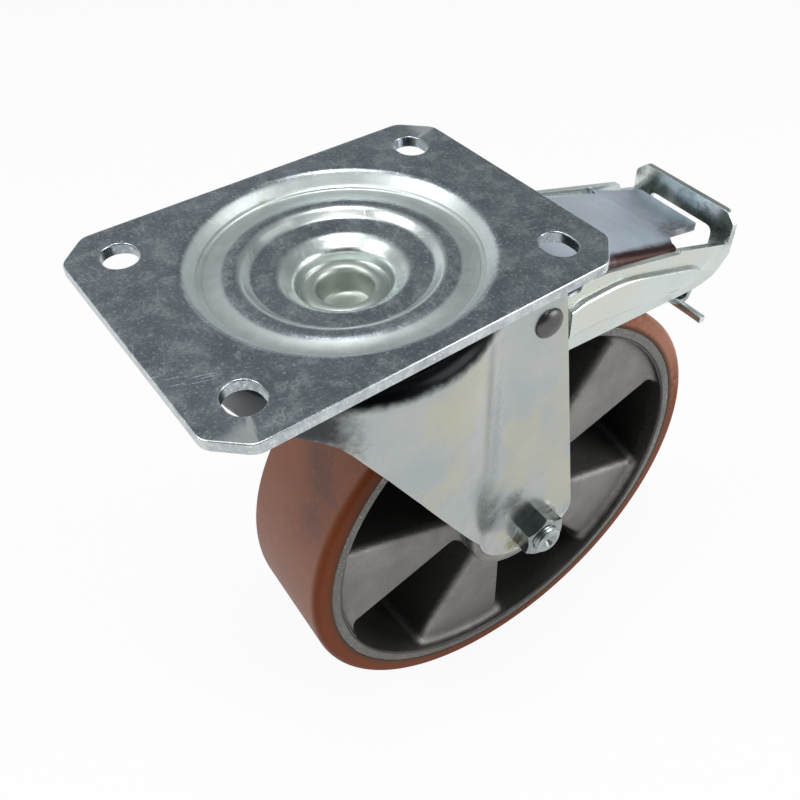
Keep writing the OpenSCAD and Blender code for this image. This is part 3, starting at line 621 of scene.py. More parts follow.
BOLT_ZINC = bright_zinc("bolt_zinc", (0.36, 0.385, 0.38), (0.27, 0.3, 0.3), (0.4, 0.41, 0.36))
LEVER_ZINC = bright_zinc(
    "lever_zinc", (0.61, 0.66, 0.64), (0.53, 0.61, 0.61), (0.62, 0.635, 0.57), 0.22,
    # Painted dark reflections on the end wall's inner face (first seven), a small brown spot at the near
    # wall's step, and the painted shadow of the shoe on the cross bar
    [((-0.0195, 0.161, -0.0385), 0.0075, (0.04, 0.05, 0.055)),
     ((0.0105, 0.1605, -0.0385), 0.0075, (0.22, 0.29, 0.31)),
     ((-0.0102, 0.1607, -0.0386), 0.004, (0.24, 0.3, 0.32)),
     ((-0.003, 0.1607, -0.04), 0.004, (0.2, 0.26, 0.27)),
     ((0.005, 0.1603, -0.04), 0.005, (0.16, 0.21, 0.22)),
     ((0.0195, 0.1597, -0.041), 0.007, (0.04, 0.055, 0.06)),
     ((0.03, 0.1593, -0.0445), 0.006, (0.06, 0.08, 0.085)),
     ((0.026, 0.13, -0.0385), 0.003, (0.2, 0.15, 0.12)),
     ((0.033, 0.143, -0.072), 0.006, (0.05, 0.05, 0.05))], edge_rub_and_sheen=1.1)
PIN_ZINC = bright_zinc("pin_zinc", (0.5, 0.56, 0.53), (0.44, 0.49, 0.46), (0.58, 0.62, 0.57), 0.36)
# Darker zinc for the nut, and on the shoe as painted shade
DARK_ZINC = bright_zinc("dark_zinc", (0.3, 0.33, 0.335), (0.2, 0.22, 0.225), (0.34, 0.35, 0.3), 0.2,
                        [((0.0395, 0.0477, -0.148), 0.004, (0.2, 0.15, 0.03))])
LEAF = bright_zinc(
    "leaf_zinc", (0.55, 0.62, 0.7), (0.48, 0.55, 0.63), (0.56, 0.6, 0.64), 0.3,
    # Painted brown reflection at the tongue's near corner
    [((0.0215, 0.138, -0.041), 0.011, (0.13, 0.07, 0.06)),
     ((0.0212, 0.149, -0.0428), 0.008, (0.2, 0.12, 0.11))],
    # Painted brown reflection along the near edge, which widens towards the tongue
    [([(FORK_FRAME @ Vector((0, 0.07, 0)), FORK_FRAME @ Vector((1, 0.075, 0)), 0.0228, 0.0268),
       (FORK_FRAME @ Vector((0, 0.06, 0)), FORK_FRAME @ Vector((0, 1, 0)), 0.0, 0.04)],
      (0.07, 0.037, 0.033))])
CAST = cast_aluminium()
TREAD = brown_tread()
STEEL = plain_steel("steel", (0.56, 0.57, 0.58), 0.28)
DARK_STEEL = plain_steel("dark_steel", (0.12, 0.12, 0.12), 0.3)
SEAL = matt_plastic("black_seal", (0.012, 0.012, 0.013))
CAGE = matt_plastic("cage", (0.22, 0.18, 0.12))


# Pieces

def make_plate():
    """Pressed plate: rings from the kingpin's hole to the flat, then the outline with cut corners."""
    half_x, half_y, corner, thickness, dish = 55, 70, 10, 4.0, 51.4
    slot_x, slot_y, slot_radius, slot_reach = 38.5, 54.5, 5.5, 1.25
    top = smooth_profile([
        (10.25, -15), (13.6, -15), (14.7, -14.7), (15.2, -13.6), (15.6, -11.8), (16.3, -10.7), (18.3, -9.2),
        (19.8, -8.1), (21.2, -7.5), (23.0, -7.4), (26.8, -7.4), (28.4, -7.2), (29.8, -6.1), (31.3, -4.8),
        (32.6, -4.35), (34, -4.25), (35.4, -4.4), (37.2, -5.0), (39.4, -5.5), (41.4, -5.6), (43.0, -5.3),
        (43.5, -5.0), (43.75, -4.6), (44.4, -4.3), (46.2, -2.3), (47.5, -0.9), (48.4, -0.25), (49.6, 0),
        (dish, 0)
    ], 0.6)
    under = smooth_profile([
        (dish, -4), (49.8, -4.3), (48.6, -5.4), (47.0, -7.4), (45.4, -8.9), (43.6, -9.5), (41, -9.5),
        (36.6, -9.5), (31.4, -9.5), (30.2, -10.3), (28.8, -11.2), (27, -11.4), (23.2, -11.4), (21.4, -12),
        (19.6, -13.4), (19, -15), (18.6, -17.6), (17.8, -18.7), (16.6, -19), (10.25, -19)
    ], 1.2)
    flat_x, flat_y = half_x - corner, half_y - corner
    outline = rounded([(half_x, flat_y), (flat_x, half_y), (-flat_x, half_y), (-half_x, flat_y),
                       (-half_x, -flat_y), (-flat_x, -half_y), (flat_x, -half_y), (half_x, -flat_y)], 2.4)
    slots = [arc((way_x * slot_x + slot_reach, way_y * slot_y), slot_radius, -90, 90, 22)
             + arc((way_x * slot_x - slot_reach, way_y * slot_y), slot_radius, 90, 270, 22)
             for way_x in (-1, 1) for way_y in (-1, 1)]
    steps = 240
    circle = [(math.cos(a), math.sin(a)) for a in np.linspace(0, 2 * math.pi, steps, endpoint=False)]
    rims = [outline, *slots, [(dish * x, dish * y) for x, y in circle]]
    flat, triangles = flat_with_holes(rims)
    half = len(flat)
    points = [(x, y, z) for z in (0.0, -thickness) for x, y in flat]
    faces = [tuple(t) for t in triangles] + [tuple(half + i for i in reversed(t)) for t in triangles]
    start = 0
    for rim in rims[:-1]:
        loop = range(start, start + len(rim))
        faces += quads(loop, [half + i for i in loop])
        start += len(rim)
    loops = [list(range(start, start + steps))]
    for r, z in top[::-1][1:] + under[::-1][:-1]:
        loops.append(list(range(len(points), len(points) + steps)))
        points += [(r * x, r * y, z) for x, y in circle]
    loops.append([half + i for i in loops[0]])
    plate = mesh_from("top_plate_sheet", points, faces + sleeve(loops))
    tidy_mesh(plate)
    round_edges(plate, 0.55, 3)
    finish_piece(plate, PLATE, "base", "plate_zinc", "top_plate")


def make_kingpin():
    """Hollow rivet with a rolled head in the plate's funnel and a headed foot under the race."""
    profile = smooth_profile([
        (0, -23.0), (6.6, -22.9), (8.3, -22.2), (8.9, -20.4), (9.0, -16.8), (9.2, -14.9), (9.9, -13.7),
        (11.2, -13.15), (12.5, -13.35), (13.6, -13.9), (14.3, -14.5), (14.4, -15)
    ], 0.4) + [(10.2, -15), (10.2, -30.9), (15, -30.9), (14.8, -32.6), (13.6, -34), (12, -34.4), (0, -34.4)]
    pin = lathe("kingpin_rivet", profile, 96)
    shade(pin, 45)
    finish_piece(pin, PIN_ZINC, "base", "zinc", "kingpin")


def plan_path():
    """Plan of the fork's outer face on one side: round front, soft blend, straight leg."""
    blend_angle = math.degrees(math.atan2(33.07, LEG_HALF)) - 9
    path = arc((0, 0), HEAD_RADIUS, -90, blend_angle, 60)
    first, end = np.array(path[-1]), np.array((LEG_HALF, 42.5))
    tangent = np.array([-math.sin(math.radians(blend_angle)), math.cos(math.radians(blend_angle))])
    meet = first + tangent * ((LEG_HALF - first[0]) / tangent[0])
    path += bend(first, meet, end, 14)[1:]
    return np.array(path + [(LEG_HALF, y) for y in np.arange(45, 88, 2.5)])


def make_fork():
    """Pressed fork: flat head, rounded shoulder, round skirt that runs into two straight legs."""
    sheet, shoulder, top, deepest = 4.0, 6.0, -15.25, -172
    side = plan_path()
    path = np.vstack([(side[::-1] * np.array([-1, 1]))[:-1], side])
    ahead = np.vstack([path[1:], path[-1:] + (path[-1:] - path[-2:-1])])
    behind = np.vstack([path[:1] - (path[1:2] - path[:1]), path[:-1]])
    normal = right_of(ahead - behind)
    under = top - sheet
    middle = (shoulder, top - shoulder)
    rows = [(20.0, top), (12.0, top)] + arc(middle, shoulder, 90, 180, 8)
    rows += [(0.0, z) for z in np.linspace(middle[1], deepest, 44)[1:]]
    rows += [(sheet, z) for z in np.linspace(deepest, middle[1], 30)[:-1]]
    rows += arc(middle, shoulder - sheet, 180, 90, 5) + [(12.0, under), (20.0, under)]
    points = [(*(p - n * inset), z) for inset, z in rows for p, n in zip(path, normal)]
    lines = columns(len(path), len(rows))
    shell = mesh_from("pressed_fork", points, sleeve(lines) + [tuple(lines[0]), tuple(lines[-1])], FORK_FRAME)
    tidy_mesh(shell)
    hole = 25.0
    ring = [(r, top) for r in (hole, 34, 44)] + [(r, under) for r in (44, 34, hole)]
    head = lathe("fork_head", ring, 120, FORK_FRAME)
    saddle = prism("fork_saddle", [(-33, 20), (33, 20), (33, 46), (-33, 46)], under, top, FORK_FRAME)
    cut(saddle, lathe("hole_cutter", [(0, -12), (hole, -12), (hole, -22), (0, -22)], 120, FORK_FRAME))
    outline = [(-52, -14), (-52, -31.6), (-38, -31.6), (-32.5, -32.6), (-28.6, -34.8), (-25.2, -38.8),
               (-16, -52.6), (-6.6, -68.2), (7.7, -93.4), (18, -112), (28.7, -131.2)]
    outline += smooth_profile([
        (30.8, -136), (33.1, -141.2), (35.8, -145.8), (38.5, -149), (41.4, -151.4), (44.2, -152.9),
        (48, -154), (54, -155), (60, -155.4), (66, -155), (71, -153.8), (75, -151.8), (78, -148.6),
        (79.3, -145.2), (79.4, -141.5)], 1.0)
    outline += [(61.6, -21.5), (60.2, -14)]
    cut(shell, prism("fork_outline", outline, -60, 60, SIDEWAYS), "INTERSECT")
    for radius, y, z in ((6.08, TRAIL, -AXLE_DEPTH), (PIVOT_BORE, PIVOT_Y, -PIVOT_DEPTH)):
        cut(shell, prism("bore_cutter", arc((y, z), radius, 0, 352.5, 48), -60, 60, SIDEWAYS))
    pad = arc((TRAIL, -AXLE_DEPTH), 12, 0, 355, 72)
    for low, high in ((-45, -37.25), (37.25, 45)):
        cut(shell, prism("pad_cutter", pad, low, high, SIDEWAYS))
    for part in (shell, head, saddle):
        round_edges(part, 0.45)
    finish_piece(join([shell, head, saddle]), FORK_ZINC, "swivel_fork", "zinc", "fork")


def rounded_path(points, reach, steps=6):
    """An open line with its inner corners rounded."""
    p = [np.array(q, float) for q in points]
    line = [tuple(p[0])]
    for i in range(1, len(p) - 1):
        before, after = p[i - 1] - p[i], p[i + 1] - p[i]
        near = min(reach, np.linalg.norm(before) * 0.48)
        far = min(reach, np.linalg.norm(after) * 0.48)
        start = p[i] + before / np.linalg.norm(before) * near
        end = p[i] + after / np.linalg.norm(after) * far
        line += bend(start, p[i], end, steps)
    return line + [tuple(p[-1])]


def corner_rise(r, radius):
    """Height of the rounded corner beside the hub's and the rim's walls."""
    r = min(max(r, HUB_RADIUS), RIM_RADIUS)
    reach = max(0.0, HUB_RADIUS + radius - r, r - RIM_RADIUS + radius)
    return radius - math.sqrt(max(0.0, radius ** 2 - min(reach, radius) ** 2))


WEB_RADII = [26.6, HUB_RADIUS, 27.52, 27.6, 27.8, 28.1, 28.6, 29.3, 30.2, 31.7, *np.arange(34, 82, 2.5),
             83.0, 84.1, 85.0, 85.7, 86.3, 86.7, 87.0, 87.15, RIM_RADIUS, 88.4]


def web_ring(r, wall, near):
    """Angles and places along the axle of one ring of points over the web."""
    half, fillet = math.pi / (2 * FIELDS), 4.2
    rise = (1 if near else -1) * corner_rise(r, fillet)
    limit = half * r * 0.96
    shifted = [(max(-limit, min(limit, d + rise)), x + rise) for d, x in wall]
    ring = []
    for j in range(2 * FIELDS):
        middle = (2 * j + 1) * half
        if j % 2:
            ring += [(middle + d / r, x) for d, x in shifted]
        else:
            ring += [(middle - d / r, x) for d, x in shifted[::-1]]
    full = []
    for k, (a, x) in enumerate(ring):
        full.append((a, x))
        if (k + 1) % len(wall) == 0:
            b = ring[k + 1][0] if k + 1 < len(ring) else ring[0][0] + 2 * math.pi
            full += [(a + (b - a) * t, x) for t in (0.25, 0.5, 0.75)]
    return full


def web_side(near):
    """Wall between a raised field and a pocket: distance towards the pocket and place along the axle."""
    if near:
        return rounded_path([(-9, 20), (-1.9, 20), (2.0, -15), (9, -15)], 4.4)
    return rounded_path([(-9, 15), (-6.6, 15), (-2.7, -20), (9, -20)], 4.4)


def make_wheel():
    """Cast centre: corrugated web of raised fields and pockets, hub and rim with a machined face."""
    points, faces, edges = [], [], []
    for near in (True, False):
        start = len(points)
        rings = [web_ring(r, web_side(near), near) for r in WEB_RADII]
        points += [(r * math.cos(a), r * math.sin(a), x)
                   for r, ring in zip(WEB_RADII, rings) for a, x in ring]
        lines = runs(len(rings), len(rings[0]), start)
        faces += sleeve(lines)
        edges.append((lines[0], lines[-1]))
    for one, two in zip(*edges):
        faces += quads(one, two)
    web = mesh_from("cast_wheel_web", points, faces, AXLE_PLACE @ SIDE_VIEW)
    tidy_mesh(web)
    shade(web, 70)
    seat = 23.52
    end = [(HUB_RADIUS, 26), (HUB_RADIUS, 29.4), (26.6, 30.9), (24.4, 31), (seat, 30.1)]
    end = rounded_path(end, 0.9, 4)
    hub_profile = [(26.6, -12), (26.6, 12)] + end + [(seat, 16), (21, 16), (21, -16), (seat, -16)]
    hub = lathe("cast_wheel_hub", hub_profile + [(r, -x) for r, x in end[::-1]], 128, ON_AXLE)
    shade(hub, 40)
    face = rounded_path([(RIM_RADIUS, 12), (87.5, 24.2), (88.3, 25), (91.98, 25), (91.98, 20)], 0.6, 5)
    rim = lathe("cast_wheel_rim", face + [(r, -x) for r, x in face[::-1]], 256, ON_AXLE)
    shade(rim, 30)
    for part in (web, hub, rim):
        finish_piece(part, CAST, "wheel", "cast_aluminium")
    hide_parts("wheel_centre")


def make_tread():
    """Tread with rounded shoulders, bonded to the rim."""
    middle, turn = TREAD_RADIUS - TREAD_SHOULDER, TREAD_HALF - TREAD_SHOULDER
    ring = [(BOND_RADIUS, -TREAD_HALF)] + arc((middle, -turn), TREAD_SHOULDER, -90, 0, 12)
    ring += [(TREAD_RADIUS, 0)] + arc((middle, turn), TREAD_SHOULDER, 0, 90, 12) + [(BOND_RADIUS, TREAD_HALF)]
    tread = lathe("bonded_tread", ring, 256, ON_AXLE)
    shade(tread, 40)
    finish_piece(tread, TREAD, "wheel", "tread", "tread")


def lever_inside(y):
    """Distance of the lever wall's inner face from the middle; the walls draw in behind the pivot."""
    draw_in, straight_end = 3.0 / 92.8, 70.0
    return LEVER_INSIDE - draw_in * max(0.0, y - straight_end)


LEVER_FRONT = [(45.5, -27), (49, -22.4), (58, -21.6), (63.5, -25), (68.6, -31), (75.6, -31.4), (76.4, -28.7)]
NEAR_EDGE = [(88.1, -29.3), (129, -38.5), (129, -37.2), (157.5, -46), (162.2, -47.4)]
FAR_EDGE = [(88.1, -26.6), (149.3, -41), (149.3, -44.7), (162.2, -47.6)]
LEVER_FOOT = [(162.2, -52.8), (161.6, -53.6), (157.2, -58.4), (154.1, -60.4), (149.6, -61.2), (145.1, -61.9),
              (128.7, -61.1), (70.6, -57.1), (60, -50), (50, -39.5), (45.5, -34)]
PANEL_SIDE = [(70.6, -36.6), (76.3, -35.1), (98.4, -35.1), (138.8, -47.4), (144.6, -51.6), (144.4, -54.8),
              (139, -57.2), (84, -49.9), (70.6, -49.7)]
PANEL_CORNERS = [0, 3, 9, 4, 3, 3, 4, 5, 0]


def resampled(loop, step):
    """A closed loop with extra points on its long edges."""
    line = []
    for start, end in zip(loop, loop[1:] + loop[:1]):
        n = max(1, int(round(math.dist(start, end) / step)))
        line += [tuple(s + (e - s) * k / n for s, e in zip(start, end)) for k in range(n)]
    return line


def moved_in(loop, amount, front):
    """A clockwise loop moved inwards; points before the front keep their place along the lever."""
    p = np.array(loop)
    q = p + right_of(np.roll(p, -1, 0) - np.roll(p, 1, 0)) * amount
    q[:, 0] = np.where(p[:, 0] < front, p[:, 0], q[:, 0])
    return [tuple(c) for c in q]


def make_lever():
    """Pressed lever: two walls with a raised panel each, and the end wall with its window."""
    panel = resampled(rounded(PANEL_SIDE, PANEL_CORNERS, 7), 3)
    pivot = arc((PIVOT_Y, -PIVOT_DEPTH), PIVOT_BORE, 0, 345, 24)
    steps = [(0, 0), (0.12, 0.28), (0.45, 1.0), (0.8, 1.75), (1.25, 2.15), (1.8, 2.3)]
    panel_loops = [moved_in(panel, inset, 70.7) for inset, _ in steps]
    parts = []
    for name, way, top in (("pedal_lever", 1, NEAR_EDGE), ("far_wall", -1, FAR_EDGE)):
        outline = resampled(rounded(LEVER_FRONT + top + LEVER_FOOT, 1.6, 4), 6)
        flat, flat_faces = flat_with_holes([outline, pivot, panel])
        _, cap_faces = flat_with_holes([panel_loops[-1]])
        sheet = [(y, z, 0.0) for y, z in flat]
        first = len(outline) + len(pivot)
        for (_, height), loop in zip(steps[1:], panel_loops[1:]):
            sheet += [(y, z, height) for y, z in loop]
        loops = runs(len(steps), len(panel), first)
        faces = [tuple(f) for f in flat_faces] + [tuple(loops[-1][i] for i in f) for f in cap_faces]
        faces += sleeve(loops)
        count = len(sheet)
        points = [(way * (lever_inside(y) + gauge + h), y, z) for gauge in (2.5, 0) for y, z, h in sheet]
        faces += [tuple(count + i for i in reversed(f)) for f in faces]
        for loop in (range(len(outline)), range(len(outline), first)):
            faces += quads(loop, [count + i for i in loop])
        wall = mesh_from(name, points, faces, FORK_FRAME)
        tidy_mesh(wall)
        round_edges(wall, 0.3)
        parts.append(wall)
    turned = FORK_FRAME @ Matrix(((1, 0, 0, 0), (0, 0, -1, 0), (0, 1, 0, 0), (0, 0, 0, 1)))
    end_shape = rounded([(-27, -52.8), (-27, -38.3), (-22.2, -34), (22.2, -34), (27, -38.3), (27, -52.8),
                         (17.2, -52.8), (17.2, -44.4), (-17.2, -44.4), (-17.2, -52.8)],
                        [0.3, 1.6, 1.6, 1.6, 1.6, 0.3, 0.3, 3.4, 3.4, 0.3])
    end_wall = prism("end_wall", end_shape, -162.8, -160.3, turned)
    round_edges(end_wall, 0.6, 3)
    finish_piece(join([*parts, end_wall]), LEVER_ZINC, "brake", "zinc", "brake_lever")


def bent_strip(path, thickness):
    """Outline of a strip of one thickness along a path."""
    p = np.array(path, float)
    left = []
    for i in range(len(p)):
        before = p[max(i, 1)] - p[max(i - 1, 0)]
        after = p[min(i + 1, len(p) - 1)] - p[min(i, len(p) - 2)]
        before /= np.linalg.norm(before)
        after /= np.linalg.norm(after)
        n = np.array([-before[1], before[0]]) + np.array([-after[1], after[0]])
        left.append(n * 2 / (n @ n))
    left = np.array(left)
    return [tuple(q) for q in p + left * thickness / 2] + [tuple(q) for q in (p - left * thickness / 2)[::-1]]


def make_leaf():
    """Leaf: tongue, sloping plate with rolled edges, drop before the pivot and arm with its tooth."""
    path = [(154, -43.1), (146, -42.0), (141, -41.2), (136, -40.2), (131, -39.1), (126, -37.8), (105, -32),
            (67, -21.2), (64, -21.0), (61.6, -22.6), (60.6, -25), (60, -31.5), (59, -33.6), (57, -34.6),
            (37.7, -34.6), (37.7, -31.4)]
    sheet, roll_radius, wide_end = 3.0, 4.0, 131.0
    strip = prism("brake_leaf_sheet", bent_strip(path, sheet), -40, 40, SIDEWAYS)
    neck = [(lever_inside(90) - 4, 90), (lever_inside(80) - 4, 80), (22, 50), (9, 50), (2.5, 42), (2.5, 34)]
    plan = rounded([(14.5, 154), (14.5, 136.5), (lever_inside(wide_end) - 4, wide_end), *neck,
                    *[(-x, y) for x, y in neck[::-1]], (4 - lever_inside(wide_end), wide_end),
                    (0.8 - lever_inside(132), 132), (-17.8, 154)], [1.2, 0.8, 0.1] + [0.1] * 14 + [1.2], 4)
    cut(strip, prism("leaf_plan", plan, -100, 0, FORK_FRAME), "INTERSECT")
    round_edges(strip, 0.4)
    parts = [strip]
    inner_radius = roll_radius - sheet
    quarter = np.linspace(0.12, math.pi / 2, 9)
    for way in (1, -1):
        rows = []
        for y in np.arange(66, wide_end + 0.1, 2.5):
            z = -32.0 + (y - 105) * (-7.4 / 26 if y > 105 else -0.2842) + 1.56
            edge = lever_inside(y)
            x, low = edge - roll_radius, z - roll_radius
            section = [(x - 0.02, z)]
            section += [(x + roll_radius * math.sin(a), low + roll_radius * math.cos(a)) for a in quarter]
            section += [(edge, z - 8), (edge - sheet, z - 8)]
            section += [(x + inner_radius * math.sin(a), low + inner_radius * math.cos(a))
                        for a in quarter[::-2]]
            section.append((x - 0.02, z - 3.1))
            rows.append([(way * across, y, h) for across, h in section])
        lines = runs(len(rows), len(rows[0]))
        faces = sleeve(lines) + [tuple(lines[0]), tuple(lines[-1])]
        roll = mesh_from("rolled_edge", [p for row in rows for p in row], faces, FORK_FRAME)
        tidy_mesh(roll)
        shade(roll, 50)
        parts.append(roll)
    finish_piece(join(parts), LEAF, "brake", "leaf_zinc", "brake_leaf")


def make_shoe():
    """V-bent shoe between the lever's walls, and the square bar across its foot."""
    path = [(125.5, -56), (130, -62.3), (140.2, -68.9), (142, -69.35), (143.6, -69.35), (144.9, -68.4),
            (148, -58)]
    half = lever_inside(150)
    shoe = prism("v_shoe", bent_strip(path, 2.5), -half, half, SIDEWAYS)
    round_edges(shoe, 0.35)
    # The darker zinc on the shoe is painted shade
    finish_piece(shoe, DARK_ZINC, "brake", "zinc", "brake_shoe")
    section = rounded([(141.3, -73.4), (144.3, -73.4), (144.3, -70.6), (141.3, -70.6)], 0.3, 2)
    bar = prism("cross_bar", section, -36, 36, SIDEWAYS)
    round_edges(bar, 0.3)
    finish_piece(bar, LEVER_ZINC, "brake", "zinc", "shoe_bar")


def make_rivets():
    """Two rivets with a domed head outside the leg and a flat one inside the lever's wall."""
    head, shank, rise, inner_end = 5.8, 4, 2.6, 25.9
    dome = [(head * math.sin(a), LEG_HALF + rise * math.cos(a)) for a in np.linspace(0.08, math.pi / 2, 12)]
    profile = [(0, LEG_HALF + rise)] + dome + [(shank, LEG_HALF), (shank, LEVER_INSIDE), (head, LEVER_INSIDE)]
    profile += [(head, inner_end + 0.4), (head - 0.4, inner_end), (0, inner_end)]
    parts = []
    for name, angle in (("pivot_rivet_pair", 90), ("far_rivet", -90)):
        rivet = lathe(name, profile, 48, PIVOT_PLACE @ Matrix.Rotation(math.radians(angle), 4, "Y"))
        shade(rivet, 40)
        parts.append(rivet)
    finish_piece(join(parts), DARK_STEEL, "swivel_fork", "dark_steel", "pivot_rivets")


def make_axle_bolt():
    """Bolt with its head on the far side and ridges of thread on the end that shows."""
    profile = [(0, 45.4), (1.0, 45.5), (3.1, 47.7), (3.6, 48.0), (4.5, 48.1), (5.3, 47.7)]
    thread, core, pitch = 6.0, 5.2, 1.75
    x = 47.2
    while x > 40:
        profile += [(thread, x), (core, x - pitch / 2 + 0.025)]
        x -= pitch
    profile += [(thread, NUT_SEAT - 0.4), (thread, -NUT_SEAT), (0, -NUT_SEAT)]
    shank = lathe("axle_bolt_steel", profile, 64, ON_AXLE)
    shade(shank, 35)
    head = prism("bolt_head", arc((0, 0), NUT_CORNER, 0, 300, 6), -NUT_SEAT - 7.5, -NUT_SEAT, ON_AXLE)
    round_edges(head, 0.5, angle=40)
    finish_piece(join([shank, head]), BOLT_ZINC, "swivel_fork", "zinc", "axle_bolt")


def make_nut():
    """Hexagon nut: six flats, rounded off by a cone at the outer face, and a chamfered bore."""
    low, high, face, bore, steps = NUT_SEAT, NUT_SEAT + 8, 9.1, 6.06, 192
    flat = NUT_CORNER * math.cos(math.radians(30))
    points = []
    for angle in 2 * math.pi * np.arange(steps) / steps:
        reach = flat / math.cos(angle % (math.pi / 3) - math.pi / 6)
        shoulder = high - (reach - face) * 0.62
        turn = angle + math.radians(56.5)
        profile = [(bore, low), (reach - 0.25, low), (reach, low + 0.25), (reach, shoulder - 0.12),
                   (reach - 0.16, shoulder + 0.09), (face + 0.15, high - 0.09), (face - 0.15, high),
                   (6.9, high), (bore, high - 0.8)]
        points += [(r * math.cos(turn), r * math.sin(turn), z) for r, z in profile]
    nut = mesh_from("axle_nut_steel", points, sleeve(columns(len(profile), steps), True), ON_AXLE)
    tidy_mesh(nut)
    shade(nut, 20)
    finish_piece(nut, DARK_ZINC, "swivel_fork", "zinc", "axle_nut")


# Rows of balls

def ball_row_tree(material):
    """Geometry nodes: spheres on a circle about Z."""
    g = Nodes(bpy.data.node_groups.new("ball_row", "GeometryNodeTree"))
    face = g.tree.interface
    for label, kind, value in (("Balls", "NodeSocketInt", 24), ("Pitch Radius", "NodeSocketFloat", 0.03),
                               ("Ball Radius", "NodeSocketFloat", 0.004), ("Height", "NodeSocketFloat", 0.0)):
        face.new_socket(name=label, in_out="INPUT", socket_type=kind).default_value = value
    face.new_socket(name="Geometry", in_out="OUTPUT", socket_type="NodeSocketGeometry")
    given, result = g.add("NodeGroupInput").outputs, g.add("NodeGroupOutput").inputs
    circle = g.add("GeometryNodeMeshCircle", {"Vertices": given["Balls"], "Radius": given["Pitch Radius"]})
    lift = g.add("ShaderNodeCombineXYZ", {"Z": given["Height"]})
    move = g.add("GeometryNodeTransform", {"Geometry": circle.outputs[0], "Translation": lift.outputs[0]})
    ball = g.add("GeometryNodeMeshUVSphere", {"Segments": 24, "Rings": 14, "Radius": given["Ball Radius"]})
    smooth = g.add("GeometryNodeSetShadeSmooth", {"Geometry": ball.outputs["Mesh"]})
    balls = g.add("GeometryNodeInstanceOnPoints", {"Points": move.outputs[0], "Instance": smooth.outputs[0]})
    real = g.add("GeometryNodeRealizeInstances", {0: balls.outputs[0]})
    paint = g.add("GeometryNodeSetMaterial", {"Geometry": real.outputs[0], "Material": material})
    g.supply(result[0], paint.outputs[0])
    return g.tree


BALL_ROW = ball_row_tree(STEEL)


def make_ball_row(name, count, pitch, radius, height, body, node, place=Matrix.Identity(4)):
    """A row of balls about Z, put in its place, as a plain mesh."""
    row = bpy.data.objects.new(name, bpy.data.meshes.new(name))
    bpy.context.scene.collection.objects.link(row)
    rule = row.modifiers.new("row", "NODES")
    rule.node_group = BALL_ROW
    sizes = {"Balls": count, "Pitch Radius": pitch * MM, "Ball Radius": radius * MM, "Height": height * MM}
    for item in BALL_ROW.interface.items_tree:
        if item.in_out == "INPUT":
            rule[item.identifier] = sizes[item.name]
    bake_modifiers(row)
    row.data.transform(place)
    finish_piece(row, STEEL, body, "steel", node)


# Assembly

make_plate()
make_kingpin()
make_fork()
make_wheel()
make_tread()
make_lever()
make_leaf()
make_shoe()
make_rivets()
make_axle_bolt()
make_nut()
make_ball_row("upper_ball_row_steel", 25, 34, 4, -12.35, "upper_ball_row", "upper_balls")
make_ball_row("lower_ball_row_steel", 24, 29, 3.5, -21.6, "lower_ball_row", "lower_balls")
for side, place in (("near", 23), ("far", -23)):
    make_ball_row(side + "_bearing_balls", 8, 16.75, 4, place, side + "_ball_set", side + "_balls", ON_AXLE)

CAD_FINISHES = {
    STEEL: ("lower_race", "locking_disc", "axle_sleeve", "inner_spacer", "near_inner_ring", "far_inner_ring",
            "near_outer_ring", "far_outer_ring"),
    SEAL: ("head_seal", "near_seals", "far_seals"),
    ZINC: ("outer_spacers", "pivot_washers"),
    CAGE: ("near_cage", "far_cage"),
}
for material, names in CAD_FINISHES.items():
    for name in names:
        nodes[name].data.materials.clear()
        nodes[name].data.materials.append(material)


# Floor, light and camera

def pale_floor(reach, height):
    """A floor that looks white to the camera and in mirrors away from the wheel, and takes the shadow."""
    corners = [(x * reach, y * reach, height) for x, y in ((-1, -1), (1, -1), (1, 1), (-1, 1))]
    sheet = mesh_from("pale_floor", corners, [(0, 1, 2, 3)])
    material = bpy.data.materials.new("pale_floor")
    material.use_nodes = True
    n = Nodes(material.node_tree)
    shader = n.tree.nodes["Principled BSDF"]
    n.supply(shader.inputs["Base Color"], (0.86, 0.86, 0.86))
    n.supply(shader.inputs["Roughness"], 0.9)
    glow = n.add("ShaderNodeEmission", {"Strength": 1.0})
    path = n.add("ShaderNodeLightPath").outputs
    place = n.vector("LENGTH", n.add("ShaderNodeTexCoord").outputs["Object"])
    clear = n.spread(place, 0.26, 0.36, 0.3, 1.0)
    mirrored = n.number("MAXIMUM", path["Is Glossy Ray"], path["Is Transmission Ray"])
    seen = n.number("MAXIMUM", path["Is Camera Ray"], n.times(mirrored, clear))
    mix = n.add("ShaderNodeMixShader", {0: n.times(seen, 0.92), 1: shader.outputs[0], 2: glow.outputs[0]})
    n.supply(n.tree.nodes["Material Output"].inputs["Surface"], mix.outputs[0])
    sheet.data.materials.append(material)


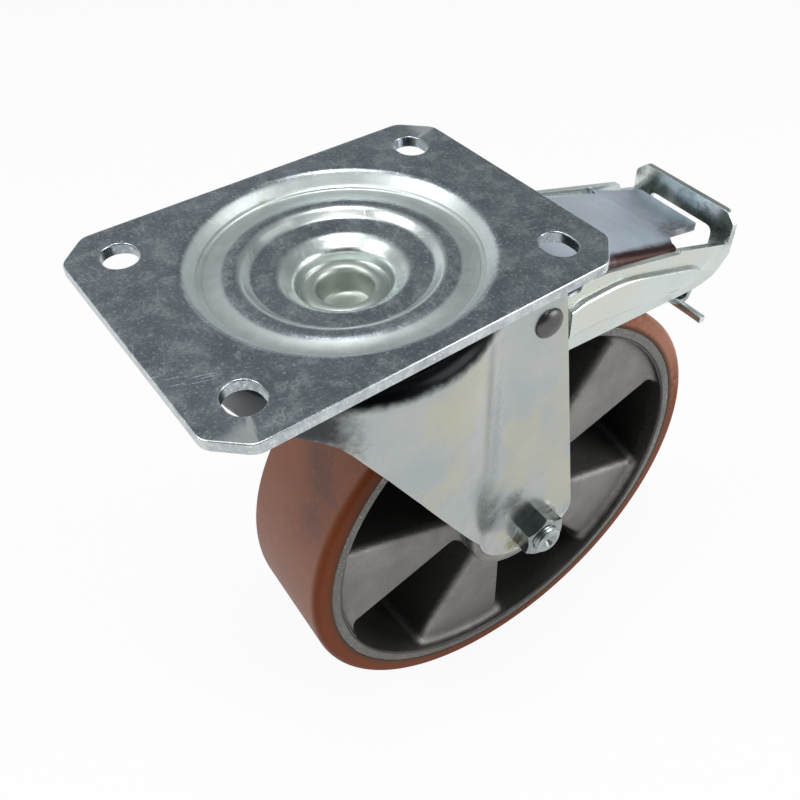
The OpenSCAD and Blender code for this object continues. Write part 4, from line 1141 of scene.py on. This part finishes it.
def studio_world():
    """White for the camera, and for mirrors soft walls that fade upwards and towards the front."""
    world = bpy.data.worlds.new("studio")
    world.use_nodes = True
    bpy.context.scene.world = world
    n = Nodes(world.node_tree)
    background = n.tree.nodes["Background"]
    path = n.add("ShaderNodeLightPath").outputs
    camera_sees = n.number("MAXIMUM", path["Is Camera Ray"], path["Is Transmission Ray"])
    tints = {0: camera_sees, 6: (0.93, 0.97, 1.0), 7: (0.97, 0.97, 0.97)}
    tint = n.add("ShaderNodeMix", tints, data_type="RGBA")
    n.supply(background.inputs["Color"], tint.outputs[2])
    direction = n.add("ShaderNodeSeparateXYZ", {0: n.add("ShaderNodeTexCoord").outputs["Generated"]}).outputs
    walls = n.spread(direction["Z"], 0.08, 0.44, 0.95, 0.3)
    walls = n.times(walls, n.number("MULTIPLY_ADD", direction["Y"], -0.45, 1.2))
    front = n.number("SUBTRACT", n.times(direction["X"], 0.5), n.times(direction["Y"], 0.87))
    walls = n.times(walls, n.spread(front, 0.0, 0.6, 1.0, 0.2))
    mirrored = n.times(path["Is Glossy Ray"], walls)
    soft = n.times(n.number("SUBTRACT", 1.0, path["Is Glossy Ray"]), 0.35)
    strengths = {0: camera_sees, 2: n.number("ADD", mirrored, soft), 3: 1.0}
    strength = n.add("ShaderNodeMix", strengths, data_type="FLOAT")
    n.supply(background.inputs["Strength"], strength.outputs[0])


def soft_light(name, place, aim, size, power):
    """A rectangular lamp that faces a point."""
    lamp = bpy.data.lights.new(name, "AREA")
    lamp.shape = "RECTANGLE"
    lamp.size, lamp.size_y = size
    lamp.energy = power
    light = bpy.data.objects.new(name, lamp)
    light.location = place
    light.rotation_euler = (Vector(aim) - Vector(place)).to_track_quat("-Z", "Y").to_euler()
    bpy.context.scene.collection.objects.link(light)


pale_floor(4000, -245.3)
studio_world()
soft_light("left_box", (-0.3, -0.95, 0.85), (0, 0, -0.08), (0.8, 0.6), 7)
soft_light("right_box", (0.9, 0.85, 0.5), (0, 0.05, -0.1), (0.8, 0.8), 9)
soft_light("top_box", (0.1, -0.1, 1.2), (0, 0, -0.05), (0.45, 0.45), 6)

camera_data = bpy.data.cameras.new("photo_view")
camera_data.sensor_width = 36
camera_data.lens = 38.376
camera_data.shift_x = -0.0631
camera_data.shift_y = 0.0071
camera = bpy.data.objects.new("photo_view", camera_data)
right, up, back = (0.6192, 0.7852, 0.0041), (-0.5601, 0.4380, 0.7032), (0.5503, -0.4377, 0.7110)
turn = Matrix((right, up, back)).transposed().to_4x4()
camera.matrix_world = Matrix.Translation((0.19028, -0.10841, 0.15149)) @ turn
bpy.context.scene.collection.objects.link(camera)
bpy.context.scene.camera = camera

bpy.context.scene.view_settings.view_transform = "Standard"
